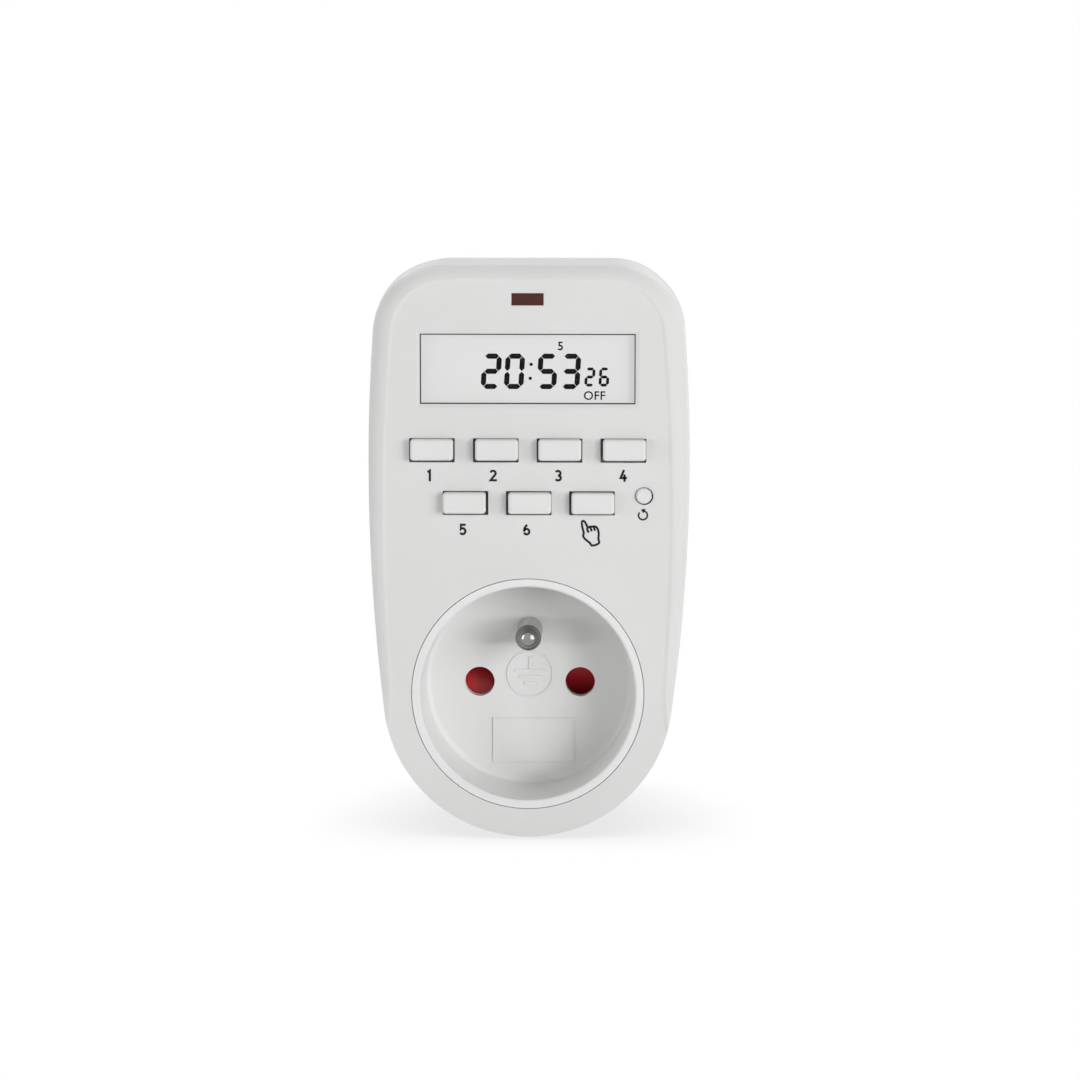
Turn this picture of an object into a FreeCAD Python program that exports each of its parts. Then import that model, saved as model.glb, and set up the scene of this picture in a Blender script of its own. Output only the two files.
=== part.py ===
import FreeCAD, Part
import math
import os
import re

import Sketcher
from FreeCAD import Placement, Rotation, Vector

# A plug-in timer switch with a round earthed socket in front and a round earthed plug behind.
# X runs to the right, Y from the front to the wall, Z up. The origin is midway between
# the plug pins, in the plane of the plug's end face. Lengths are in millimetres.
# A name that ends in _depth without another word measures back from the front face.

SIZES = {
    # case outline, at its widest where the two shells meet
    "body_width": 60.0,
    "body_top": 80.0,
    "widest_height": 41.7,
    "lower_narrowing": 2.8,
    "corner_radius": 13.5,
    "body_depth": 38.0,
    "parting_depth": 12.0,
    "side_flare": 0.65,
    "lower_flare": 0.35,
    "back_taper": 0.9,
    "back_rounding": 3.0,
    "seam_bevel": 0.25,
    "wall": 2.0,
    "lip_height": 1.3,
    "lip_gap": 0.1,
    "plate_width": 34.0,
    "plate_height": 18.0,
    "plate_drop": 7.0,
    "plate_corner": 2.0,
    "plate_recess": 0.3,
    # face pad and the shoulder band round it
    "shoulder_width": 3.07,
    "shoulder_top": 3.0,
    "pad_corner": 10.6,
    "pad_widest_height": 33.0,
    "pad_side_radius": 408.0,
    "pad_flare_height": 3.0,
    "pad_flare_radius": 40.0,
    "pad_flare_end": -12.0,
    "shoulder_radius": 4.2,
    "shoulder_start": 12.0,
    "face_recess": 0.15,
    "rim_width": 0.25,
    "rim_slope": 0.5,
    # window, display and indicator
    "window_margin": 7.23,
    "window_height": 12.7,
    "window_drop": 19.6,
    "window_gap": 0.12,
    "window_bevel": 0.7,
    "window_recess": 0.25,
    "window_rebate": 1.0,
    "window_flange": 0.9,
    "window_flange_depth": 0.6,
    "glass_margin": 0.8,
    "glass_depth": 2.2,
    "frame_wall": 0.8,
    "zebra_width": 1.3,
    "zebra_inset": 1.2,
    "lens_width": 5.8,
    "lens_height": 2.15,
    "lens_drop": 6.8,
    "lens_gap": 0.06,
    "lens_flange": 1.0,
    "lens_flange_depth": 0.8,
    "lens_stub": 1.3,
    "led_radius": 1.5,
    # keys
    "key_width": 8.4,
    "key_height": 4.45,
    "key_gap": 0.26,
    "key_margin": 5.105,
    "lower_key_closing": 0.1,
    "lower_key_shift": 0.2,
    "upper_key_row": 45.4,
    "lower_key_row": 35.65,
    "key_proud": 2.0,
    "key_rounding": 0.6,
    "key_travel": 0.7,
    "key_play": 0.2,
    "key_flange": 0.65,
    "key_flange_depth": 0.8,
    "key_stem_radius": 1.4,
    "reset_margin": 5.43,
    "reset_row": 37.0,
    "reset_radius": 1.64,
    "reset_gap": 0.18,
    "reset_play": 0.09,
    "dome_rest_gap": 0.1,
    "dome_radius": 2.5,
    "dome_top_radius": 1.5,
    "dome_height": 1.9,
    "keypad_margin": 1.6,
    "keypad_depth": 0.8,
    # boards and what they carry
    "board_thickness": 1.6,
    "display_board_depth": 7.2,
    "board_inset": 6.5,
    "board_tab_gap": 1.5,
    "board_top_gap": 4.2,
    "board_bottom": 26.6,
    "post_radius": 2.0,
    "upper_post_inset": 3.0,
    "upper_post_drop": 2.6,
    "lower_post_place": 14.0,
    "lower_post_row": 28.8,
    "screw_radius": 0.9,
    "screw_head_radius": 1.8,
    "screw_head_depth": 1.1,
    "screw_length": 5.0,
    "screw_gap": 0.05,
    "standoff": 2.4,
    "standoff_inset": 3.1,
    "upper_standoff_row": 65.0,
    "lower_standoff_row": 45.0,
    "chip_width": 12.0,
    "chip_row": 44.0,
    "chip_depth": 1.4,
    "crystal_radius": 1.0,
    "crystal_length": 6.0,
    "crystal_place": -9.0,
    "crystal_row": 52.0,
    "battery_radius": 7.7,
    "battery_depth": 5.8,
    "battery_place": 12.0,
    "battery_row": 59.5,
    "link_width": 8.0,
    "link_thickness": 0.9,
    "link_inset": 5.5,
    "link_row": 57.5,
    "link_sag": 3.0,
    "relay_width": 28.5,
    "relay_height": 12.5,
    "relay_depth": 15.5,
    "relay_row": 35.6,
    "relay_rounding": 0.8,
    "film_width": 18.0,
    "film_height": 8.5,
    "film_depth": 13.5,
    "film_place": 0.0,
    "film_row": 48.6,
    "can_radius": 4.0,
    "can_depth": 12.0,
    "can_place": -6.5,
    "can_row": 59.5,
    "disc_radius": 4.5,
    "disc_thickness": 3.4,
    "disc_inset": 3.9,
    "disc_row": 49.0,
    "diode_radius": 1.3,
    "diode_length": 5.0,
    "diode_pitch": 3.8,
    "diode_place": 10.0,
    "diode_row": 54.5,
    # housing screws and their columns
    "upper_column_inset": 10.5,
    "upper_column_drop": 7.0,
    "lower_column_inset": 7.8,
    "lower_column_row": 22.2,
    "column_radius": 4.0,
    "well_radius": 3.0,
    "well_depth": 8.0,
    "front_post_radius": 3.1,
    "housing_screw_radius": 1.4,
    "housing_head_radius": 2.7,
    "housing_head_depth": 1.8,
    "housing_screw_length": 25.0,
    # socket
    "cup_radius": 20.0,
    "cup_floor_radius": 19.5,
    "cup_depth": 15.0,
    "cup_floor": 2.5,
    "cup_shell": 1.4,
    "ring_radius": 21.5,
    "ring_gap": 0.13,
    "cup_flange_share": 0.567,
    "cup_flange_depth": 1.5,
    "mouth_rounding": 0.45,
    "cup_floor_rounding": 1.0,
    "contact_pitch": 19.0,
    "line_hole_radius": 2.8,
    "earth_offset": 10.0,
    "earth_pin_radius": 2.4,
    "earth_shank_radius": 2.0,
    "earth_pin_length": 14.0,
    "earth_neck": 0.55,
    "earth_nose_radius": 1.75,
    "earth_hole_gap": 0.13,
    "chamber_depth": 5.4,
    "shutter_radius": 13.8,
    "shutter_half_angle": 20.0,
    "shutter_thin": 1.2,
    "shutter_thick": 3.9,
    "shutter_gap": 0.3,
    "shutter_hub_radius": 4.0,
    "shutter_post_radius": 1.5,
    "shutter_running_gap": 0.06,
    "spring_wire": 0.45,
    "spring_reach": 12.6,
    "carrier_thickness": 2.5,
    "tower_width": 8.8,
    "tower_wall": 0.9,
    "tower_depth": 9.2,
    "contact_strip": 0.6,
    "contact_width": 5.6,
    "contact_span": 5.8,
    "contact_grip": 4.6,
    "contact_tab": 3.2,
    # plug
    "boss_radius": 19.25,
    "boss_length": 16.0,
    "boss_wall": 2.5,
    "boss_end": 4.0,
    "boss_gap": 0.15,
    "boss_rounding": 1.0,
    "notch_width": 6.0,
    "notch_depth": 2.4,
    "base_flange_share": 0.465,
    "base_skirt_wall": 1.5,
    "skirt_notch_width": 24.0,
    "pin_radius": 2.4,
    "pin_shank_radius": 2.2,
    "pin_length": 19.0,
    "pin_nose": 1.8,
    "pin_collar_radius": 3.3,
    "pin_collar_depth": 1.2,
    "pin_inset": 0.6,
    "tower_radius": 4.2,
    "receptacle_bore": 2.5,
    "receptacle_wall": 0.6,
    "earth_bore_radius": 2.7,
    "strap_width": 5.0,
    "strap_thickness": 0.8,
    "strap_rise": 5.0,
    "strap_margin": 0.4,
    "rivet_shank_radius": 1.4,
    "rivet_radius": 2.3,
    "rivet_depth": 0.8,
    "clip_width": 5.2,
    "clip_thickness": 0.7,
    "clip_sink": 1.7,
    "clip_gap": 0.2,
    "clip_lap": 1.6,
    # wires inside
    "lead_radius": 0.95,
    "lead_height": 10.4,
    "lead_spread": 1.0,
    "load_lead_shift": 3.3,
    "lead_stand": 2.4,
    "lead_margin": 0.2,
    "solder_length": 1.6,
}

doc = FreeCAD.newDocument("DigitalTimerSwitch")
sheet = doc.addObject("Spreadsheet::Sheet", "Size")
for row, (alias, number) in enumerate(SIZES.items(), start=1):
    sheet.set(f"A{row}", alias)
    sheet.set(f"B{row}", str(number))
    sheet.setAlias(f"B{row}", alias)
doc.recompute()

# Sizes and places that many pieces share, as formulas of the sheet's sizes.
LOWER_RADIUS = "(body_width / 2 - lower_narrowing)"
PAD_WIDTH = "(body_width - 2 * shoulder_width)"
WINDOW_WIDTH = f"({PAD_WIDTH} - 2 * window_margin)"
KEY_PITCH = f"(({PAD_WIDTH} - 2 * key_margin - key_width) / 3)"
LOWER_KEY_PITCH = f"({KEY_PITCH} - lower_key_closing)"
RESET_PLACE = f"({PAD_WIDTH} / 2 - reset_margin)"
UPPER_COLUMN_PLACE = "(body_width / 2 - upper_column_inset)"
LOWER_COLUMN_PLACE = "(body_width / 2 - lower_column_inset)"
BOARD_WIDTH = "(body_width - 2 * board_inset)"
BOARD_TAB_WIDTH = f"(2 * ({UPPER_COLUMN_PLACE} - column_radius - board_tab_gap))"
UPPER_POST_PLACE = f"({BOARD_TAB_WIDTH} / 2 - upper_post_inset)"
STANDOFF_PLACE = f"({BOARD_WIDTH} / 2 - standoff_inset)"
PAD_TOP = "(body_top - shoulder_top)"
LENS_ROW = "(body_top - lens_drop)"
WINDOW_ROW = "(body_top - window_drop)"
UPPER_COLUMN_ROW = "(body_top - upper_column_drop)"
BOARD_TOP = "(body_top - board_top_gap)"
BOARD_SHOULDER_ROW = f"({UPPER_COLUMN_ROW} - column_radius - lip_gap)"
UPPER_POST_ROW = f"({BOARD_TOP} - upper_post_drop)"
CLIP_FLAT = "(boss_radius - clip_sink)"
CUP_FLANGE = f"(({LOWER_RADIUS} - lower_flare - wall - ring_radius) * cup_flange_share)"
BASE_FLANGE_WIDTH = f"(({LOWER_RADIUS} - back_taper - wall - boss_radius) * base_flange_share)"
BASE_FLANGE_RADIUS = f"(boss_radius + {BASE_FLANGE_WIDTH})"
FACE = "(0 - boss_length - body_depth)"
SUNK_FACE = f"({FACE} + face_recess)"
INNER_FACE = f"({FACE} + wall)"
WINDOW_SEAT = f"({INNER_FACE} - window_rebate)"
PARTING = f"({FACE} + parting_depth)"
BACK = "(0 - boss_length)"
INNER_BACK = f"({BACK} - wall)"
DISPLAY_BOARD = f"({FACE} + display_board_depth)"
DISPLAY_BOARD_BACK = f"({DISPLAY_BOARD} + board_thickness)"
POWER_BOARD_BACK = f"({INNER_BACK} - standoff)"
POWER_BOARD = f"({POWER_BOARD_BACK} - board_thickness)"
CUP_FLOOR = f"({SUNK_FACE} + cup_depth)"
CHAMBER = f"({CUP_FLOOR} + cup_floor)"
CARRIER = f"({CHAMBER} + chamber_depth)"
CARRIER_BACK = f"({CARRIER} + carrier_thickness)"
BASE_FLANGE = f"({INNER_BACK} - wall)"
TOWER_END = f"({CARRIER_BACK} + tower_depth)"
BOSS_END_INSIDE = "(0 - boss_end)"
PIN_ROOT = f"({TOWER_END} + 4 * contact_strip + pin_inset + 1.2)"
CUP_SHELL_RADIUS = "(cup_floor_radius + cup_shell)"
BOSS_INNER_RADIUS = "(boss_radius - boss_wall)"


def formula(text):
    """Give each size that a formula names the sheet's prefix."""
    return re.sub(r"[a-z][a-z_]+", lambda found: f"Size.{found.group()}", str(text))


def value(text):
    """The number that a formula gives with the sheet's present sizes."""
    found = sheet.evalExpression(formula(text))
    return float(getattr(found, "Value", found))


def bind(thing, prop, text):
    """Tie a property to a formula of the sheet's sizes."""
    thing.setExpression(prop, formula(text))


def place(thing, x="0", y="0", z="0"):
    """Tie an object's place to three formulas."""
    for axis, text in (("x", x), ("y", y), ("z", z)):
        bind(thing, f"Placement.Base.{axis}", text)
    return thing


# Sub-parts made of features

PARTS = []


def sub_part(thing, label):
    """Name a finished sub-part, and keep it for the checks and the files."""
    thing.Label = label
    PARTS.append(thing)
    return thing


def new_body(label, x="0", y="0", z="0"):
    """An empty body whose own axes lie along the model's."""
    body = doc.addObject("PartDesign::Body", "Body")
    place(body, x, y, z)
    return sub_part(body, label)


def new_sketch(body, role):
    """A sketch on one of the body's own origin planes."""
    sketch = body.newObject("Sketcher::SketchObject", "Sketch")
    plane = next(item for item in body.Origin.OriginFeatures if item.Role == role)
    sketch.AttachmentSupport = [(plane, "")]
    sketch.MapMode = "FlatFace"
    return sketch


def tie(sketch, kind, where, text):
    """Set one dimension of a sketch to a formula."""
    index = sketch.addConstraint(Sketcher.Constraint(kind, *where, value(text)))
    bind(sketch, f"Constraints[{index}]", text)


def draw_outline(sketch, corners):
    """A closed outline of straight lines, each corner held by two formulas."""
    first = sketch.GeometryCount
    points = [Vector(value(x), value(y), 0) for x, y in corners]
    count = len(points)
    for index, start in enumerate(points):
        sketch.addGeometry(Part.LineSegment(start, points[(index + 1) % count]))
    for index in range(count):
        here, after = first + index, first + (index + 1) % count
        sketch.addConstraint(Sketcher.Constraint("Coincident", here, 2, after, 1))
    for index, (x, y) in enumerate(corners):
        tie(sketch, "DistanceX", (first + index, 1), x)
        tie(sketch, "DistanceY", (first + index, 1), y)


def draw_rectangle(sketch, width, height, x="0", y="0"):
    """A rectangle about a centre."""
    left, right = f"{x} - ({width}) / 2", f"{x} + ({width}) / 2"
    low, high = f"{y} - ({height}) / 2", f"{y} + ({height}) / 2"
    draw_outline(sketch, [(left, low), (right, low), (right, high), (left, high)])


def draw_circle(sketch, radius, x="0", y="0"):
    """A circle about a centre."""
    centre = Vector(value(x), value(y), 0)
    index = sketch.addGeometry(Part.Circle(centre, Vector(0, 0, 1), value(radius)))
    tie(sketch, "DistanceX", (index, 3), x)
    tie(sketch, "DistanceY", (index, 3), y)
    tie(sketch, "Radius", (index,), radius)


def pad(body, sketch, length, backward=True):
    """Thicken a sketch, towards the wall or towards the front."""
    feature = body.newObject("PartDesign::Pad", "Pad")
    feature.Profile = sketch
    bind(feature, "Length", length)
    feature.Reversed = backward
    doc.recompute()
    return feature


def mid_pad(body, sketch, length):
    """Thicken a sketch evenly to both sides."""
    feature = body.newObject("PartDesign::Pad", "Pad")
    feature.Profile = sketch
    bind(feature, "Length", length)
    feature.Midplane = True
    doc.recompute()
    return feature


def pocket_through(body, sketch):
    """Cut a sketch's shape out of everything behind it."""
    feature = body.newObject("PartDesign::Pocket", "Pocket")
    feature.Profile = sketch
    feature.Type = "ThroughAll"
    doc.recompute()
    return feature


def turn(body, corners):
    """Turn a half profile, given as radius and place along Y, about the Y axis."""
    sketch = new_sketch(body, "XY_Plane")
    draw_outline(sketch, corners)
    feature = body.newObject("PartDesign::Revolution", "Revolution")
    feature.Profile = sketch
    feature.ReferenceAxis = (sketch, ["V_Axis"])
    feature.Angle = 360
    doc.recompute()
    return feature


def edges_where(feature, test):
    """Names of the edges of a feature that a test picks."""
    edges = feature.Shape.Edges
    return [f"Edge{index}" for index, edge in enumerate(edges, start=1) if test(edge)]


def soften(body, kind, base, names, prop, amount):
    """Round or bevel the named edges of a body's last feature."""
    feature = body.newObject(f"PartDesign::{kind}", kind)
    feature.Base = (base, names)
    bind(feature, prop, amount)
    doc.recompute()
    return feature


def rounded(body, base, test, amount):
    """Round the edges of a body's last feature that a test picks."""
    return soften(body, "Fillet", base, edges_where(base, test), "Radius", amount)


def bevelled(body, base, test, amount):
    """Bevel the edges of a body's last feature that a test picks."""
    return soften(body, "Chamfer", base, edges_where(base, test), "Size", amount)


def on_plane(edge, y):
    """Does an edge lie in the plane across Y at this place?"""
    return edge.BoundBox.YLength < 1e-6 and abs(edge.BoundBox.YMin - y) < 1e-4


def circle_at(edge, radius, y):
    """Is an edge a circle of this radius about the Y direction, at this place?"""
    if not on_plane(edge, y) or not isinstance(edge.Curve, Part.Circle):
        return False
    return abs(edge.Curve.Radius - radius) < 1e-4


# Plain solids joined by booleans


def box(x, y, z):
    """A box between two formulas along each axis."""
    thing = doc.addObject("Part::Box", "Box")
    for prop, (low, high) in (("Length", x), ("Width", y), ("Height", z)):
        bind(thing, prop, f"({high}) - ({low})")
    return place(thing, x[0], y[0], z[0])


def rod(radius, y_from, y_to, x="0", z="0"):
    """A cylinder along Y."""
    thing = doc.addObject("Part::Cylinder", "Rod")
    bind(thing, "Radius", radius)
    bind(thing, "Height", f"({y_to}) - ({y_from})")
    thing.Placement = Placement(Vector(), Rotation(Vector(1, 0, 0), -90))
    return place(thing, x, y_from, z)


def cone(back_radius, front_radius, y_back, length, x, z):
    """A cone along Y that narrows to the front."""
    thing = doc.addObject("Part::Cone", "Cone")
    bind(thing, "Radius1", back_radius)
    bind(thing, "Radius2", front_radius)
    bind(thing, "Height", length)
    thing.Placement = Placement(Vector(), Rotation(Vector(1, 0, 0), 90))
    return place(thing, x, y_back, z)


def joined(things):
    """One solid, or one group, of several."""
    result = doc.addObject("Part::MultiFuse", "Joined")
    result.Shapes = things
    return result


def without(base, tool):
    """A solid with another cut out of it."""
    result = doc.addObject("Part::Cut", "Without")
    result.Base = base
    result.Tool = tool
    return result


def shaped(label, shape):
    """A sub-part whose shape is worked out in the code below."""
    thing = doc.addObject("Part::Feature", "Shaped")
    thing.Shape = shape
    return sub_part(thing, label)


# Outlines of the case


def arc(centre, radius, start, end, y):
    """An arc across Y about a centre in X and Z, from one angle to another."""
    points = []
    for angle in (start, (start + end) / 2, end):
        points.append(
            Vector(centre[0] + radius * math.cos(angle), y, centre[1] + radius * math.sin(angle))
        )
    return Part.Arc(*points).toShape()


def line(start, end, y):
    """A straight edge across Y between two points in X and Z."""
    return Part.LineSegment(Vector(start[0], y, start[1]), Vector(end[0], y, end[1])).toShape()


def case_wire(inset, lower_inset, y):
    """The case's outline at y, drawn in from the parting outline."""
    half = value("body_width") / 2 - inset
    low = value(LOWER_RADIUS) - lower_inset
    rise = value("widest_height")
    side = (half**2 + rise**2 - low**2) / (2 * (half - low))
    corner = value("corner_radius") - inset
    top = value("body_top") - inset
    side_x = half - side
    corner_z = top - corner
    corner_x = side_x + math.sqrt((side - corner) ** 2 - (corner_z - rise) ** 2)
    meet = math.atan2(-rise, -side_x)
    bend = math.atan2(corner_z - rise, corner_x - side_x)
    edges = [
        arc((0, 0), low, -math.pi - meet, meet, y),
        arc((side_x, rise), side, meet, bend, y),
        arc((corner_x, corner_z), corner, bend, math.pi / 2, y),
        line((corner_x, top), (-corner_x, top), y),
        arc((-corner_x, corner_z), corner, math.pi / 2, math.pi - bend, y),
        arc((-side_x, rise), side, math.pi - bend, math.pi - meet, y),
    ]
    return Part.Wire(edges)


def pad_wire(outset, y):
    """The face pad's outline at y, drawn out from its edge. It turns outward past the socket."""
    half = value(PAD_WIDTH) / 2
    rise = value("pad_widest_height")
    side = value("pad_side_radius")
    side_x = half - side
    top = value(PAD_TOP) + outset
    corner = value("pad_corner") + outset
    corner_z = top - corner
    corner_x = side_x + math.sqrt((side + outset - corner) ** 2 - (corner_z - rise) ** 2)
    bend = math.atan2(corner_z - rise, corner_x - side_x)
    fade = math.asin((value("pad_flare_height") - rise) / side)
    flare = value("pad_flare_radius")
    flare_x = side_x + (side + flare) * math.cos(fade)
    flare_z = rise + (side + flare) * math.sin(fade)
    inner = flare - outset
    end_z = value("pad_flare_end")
    end = math.pi + math.asin((flare_z - end_z) / inner)
    end_x = flare_x + inner * math.cos(end)
    floor = -value("body_width")
    right = [
        line((end_x, floor), (end_x, end_z), y),
        arc((flare_x, flare_z), inner, end, math.pi + fade, y),
        arc((side_x, rise), side + outset, fade, bend, y),
        arc((corner_x, corner_z), corner, bend, math.pi / 2, y),
    ]
    left = [edge.mirror(Vector(), Vector(1, 0, 0)) for edge in reversed(right)]
    across = line((corner_x, top), (-corner_x, top), y)
    below = line((-end_x, floor), (end_x, floor), y)
    return Part.Wire(Part.__sortEdges__(right + [across] + left + [below]))


def rectangle_wire(width, height, x, y, z):
    """A rectangle across Y about a centre."""
    corners = [(-1, -1), (1, -1), (1, 1), (-1, 1), (-1, -1)]
    return Part.makePolygon([Vector(x + a * width / 2, y, z + b * height / 2) for a, b in corners])


def prism(wire, length):
    """A wire's face thickened towards the wall."""
    return Part.Face(wire).extrude(Vector(0, length, 0))


def cylinder(radius, y_from, y_to, x=0.0, z=0.0):
    """A plain cylinder along Y."""
    return Part.makeCylinder(radius, y_to - y_from, Vector(x, y_from, z), Vector(0, 1, 0))


def mirrored_places(place_text, row_text):
    """Two places, one each side of the middle."""
    across, up = value(place_text), value(row_text)
    return [(-across, up), (across, up)]


def column_places():
    """Where the four housing screws stand."""
    upper = mirrored_places(UPPER_COLUMN_PLACE, UPPER_COLUMN_ROW)
    return upper + mirrored_places(LOWER_COLUMN_PLACE, "lower_column_row")


def post_places():
    """Where the display board's screws stand."""
    upper = mirrored_places(UPPER_POST_PLACE, UPPER_POST_ROW)
    return upper + mirrored_places("lower_post_place", "lower_post_row")


def standoff_places():
    """Where the power board's screws stand."""
    upper = mirrored_places(STANDOFF_PLACE, "upper_standoff_row")
    return upper + mirrored_places(STANDOFF_PLACE, "lower_standoff_row")


# Keys, in the order that they stand: name, place, row, and the parts of the play that each has
# settled to, across and up

KEYS = [
    ("week_button", f"0 - 1.5 * {KEY_PITCH}", "upper_key_row", 0, 1),
    ("hour_button", f"0 - 0.5 * {KEY_PITCH}", "upper_key_row", 1, 1),
    ("minute_button", f"0.5 * {KEY_PITCH}", "upper_key_row", 0.4, 1),
    ("second_button", f"1.5 * {KEY_PITCH}", "upper_key_row", 1, 1),
    ("clock_button", f"lower_key_shift - {LOWER_KEY_PITCH}", "lower_key_row", -1, 0.6),
    ("program_button", "0 + lower_key_shift", "lower_key_row", 1, 0.5),
    ("manual_button", f"lower_key_shift + {LOWER_KEY_PITCH}", "lower_key_row", 1, 0.4),
]


def face_pad():
    """The case's front with its curved shoulder, which runs out beside the socket."""
    face, parting = value(FACE), value(PARTING)
    bevel = value("seam_bevel")
    body = Part.makeLoft(
        [
            case_wire(value("side_flare"), value("lower_flare"), face),
            case_wire(0.0, 0.0, parting - bevel),
            case_wire(bevel, bevel, parting),
        ],
        True,
        True,
    )
    radius, start = value("shoulder_radius"), math.radians(value("shoulder_start"))
    sections = []
    for angle in [start] + [math.radians(degrees) for degrees in (27, 41, 55, 68, 80)]:
        outset = radius * (math.sin(angle) - math.sin(start))
        depth = radius * (math.cos(start) - math.cos(angle))
        sections.append((outset, face + depth))
    shoulder = Part.makeLoft([pad_wire(*section) for section in sections], True, False)
    outset, depth = sections[-1]
    block = prism(pad_wire(outset, depth), parting - depth + 1)
    recess, rim = value("face_recess"), value("rim_width")
    sunk = Part.makeLoft(
        [pad_wire(-rim, face), pad_wire(-rim - value("rim_slope"), face + recess)], True, True
    )
    return body.common(shoulder.fuse(block)).cut(sunk)


def cavity(y_from, y_to, inset):
    """The room inside the front shell, between two places along Y."""
    face, depth = value(FACE), value("parting_depth")
    wires = []
    for y in (y_from, y_to):
        left = 1 - (y - face) / depth
        side, low = value("side_flare") * left, value("lower_flare") * left
        wires.append(case_wire(inset + side, inset + low, y))
    return Part.makeLoft(wires, True, True)


def face_openings():
    """Everything that is cut through the face wall."""
    face, inner = value(FACE) - 1, value(INNER_FACE) + 1
    sunk = value(SUNK_FACE)
    deep = inner - face
    gap, bevel = 2 * value("window_gap"), 2 * value("window_bevel")
    width, height, row = value(WINDOW_WIDTH), value("window_height"), value(WINDOW_ROW)
    cuts = [prism(rectangle_wire(width + gap, height + gap, 0, face, row), deep)]
    bevel_wires = [
        rectangle_wire(width + gap + bevel, height + gap + bevel, 0, sunk, row),
        rectangle_wire(width + gap, height + gap, 0, sunk + value("window_recess"), row),
    ]
    cuts.append(Part.makeLoft(bevel_wires, True, True))
    rebate = value("window_rebate")
    seat = value(WINDOW_SEAT)
    flange = 4 * value("window_gap") + 2 * value("window_flange")
    cuts.append(prism(rectangle_wire(width + flange, height + flange, 0, seat, row), rebate + 1))
    gap = 2 * value("lens_gap")
    lens = (value("lens_width") + gap, value("lens_height") + gap)
    cuts.append(prism(rectangle_wire(*lens, 0, face, value(LENS_ROW)), deep))
    for name, across, row, play, rise in KEYS:
        key = (value("key_width"), value("key_height"))
        cuts.append(prism(rectangle_wire(*key, value(across), face, value(row)), deep))
    reset = (value(RESET_PLACE), value("reset_row"))
    cuts.append(cylinder(value("reset_radius"), face, inner, *reset))
    cuts.append(cylinder(value("ring_radius + ring_gap"), face, inner))
    return cuts


def make_front_cover():
    """The front shell: face, wall, screw posts and the rebate that takes the rear shell's lip."""
    parting, inner = value(PARTING), value(INNER_FACE)
    board, wall = value(DISPLAY_BOARD), value("wall")
    lip, gap = value("lip_height"), value("lip_gap")
    shape = face_pad().cut(cavity(inner, parting + 1, wall))
    rebate = wall / 2 - gap / 2
    shape = shape.cut(cavity(parting - lip - gap, parting + 1, rebate))
    pilot = value("housing_screw_radius + screw_gap")
    small_pilot = value("screw_radius + screw_gap")
    posts, holes = [], []
    for x, z in column_places():
        posts.append(cylinder(value("front_post_radius"), inner - 0.5, parting, x, z))
        holes.append(cylinder(pilot, inner + 1, parting + 1, x, z))
    for x, z in post_places():
        posts.append(cylinder(value("post_radius"), inner - 0.5, board, x, z))
        holes.append(cylinder(small_pilot, inner + 0.5, board + 1, x, z))
    shape = shape.fuse([post.common(cavity(inner - 0.6, parting, wall / 2 + gap)) for post in posts])
    return shaped("front_cover", shape.cut(holes + face_openings()).removeSplitter())


def plate_recess():
    """The shallow field for a rating plate in the back."""
    size = (value("plate_width"), value("plate_height"))
    start, row = value(BACK) - value("plate_recess"), value(UPPER_COLUMN_ROW) - value("plate_drop")
    block = prism(rectangle_wire(*size, 0, start, row), 1)
    corners = [edge for edge in block.Edges if edge.BoundBox.YLength > 0.5]
    return block.makeFillet(value("plate_corner"), corners)


def make_rear_cover():
    """The rear shell: a rounded tray with the lip, four screw columns and the board's standoffs."""
    parting, back, inner_back = value(PARTING), value(BACK), value(INNER_BACK)
    bevel, taper, wall = value("seam_bevel"), value("back_taper"), value("wall")
    lip, gap = value("lip_height"), value("lip_gap")
    outer = Part.makeLoft(
        [
            case_wire(bevel, bevel, parting),
            case_wire(0.0, 0.0, parting + bevel),
            case_wire(taper, taper, back),
        ],
        True,
        True,
    )
    rim = [edge for edge in outer.Edges if on_plane(edge, back)]
    outer = outer.makeFillet(value("back_rounding"), rim)
    room = Part.makeLoft(
        [case_wire(wall, wall, parting), case_wire(wall + taper, wall + taper, inner_back)],
        True,
        True,
    )
    shape = outer.cut(room)
    tongue = prism(case_wire(wall / 2 + gap / 2, wall / 2 + gap / 2, parting - lip), lip + 0.3)
    tongue = tongue.cut(prism(case_wire(wall, wall, parting - lip - 1), lip + 2))
    shape = shape.fuse(tongue)
    columns, holes = [], []
    seat = back - value("well_depth")
    for x, z in column_places():
        columns.append(cylinder(value("column_radius"), parting, inner_back + 0.5, x, z))
        holes.append(cylinder(value("housing_screw_radius + 0.3"), parting - 3, back, x, z))
        holes.append(cylinder(value("well_radius"), seat, back + 1, x, z))
    standoff = value(POWER_BOARD_BACK)
    for x, z in standoff_places():
        columns.append(cylinder(value("post_radius"), standoff, inner_back + 0.5, x, z))
        holes.append(cylinder(value("screw_radius + screw_gap"), standoff - 1, back - 1, x, z))
    holes.append(cylinder(value("boss_radius + boss_gap"), inner_back - 1, back + 1))
    holes.append(plate_recess())
    bulk = prism(case_wire(wall / 2 + taper, wall / 2 + taper, parting - 3), back - parting + 2)
    shape = shape.fuse([column.common(bulk) for column in columns])
    return shaped("rear_cover", shape.cut(holes).removeSplitter())


# Window, display and indicator


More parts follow.
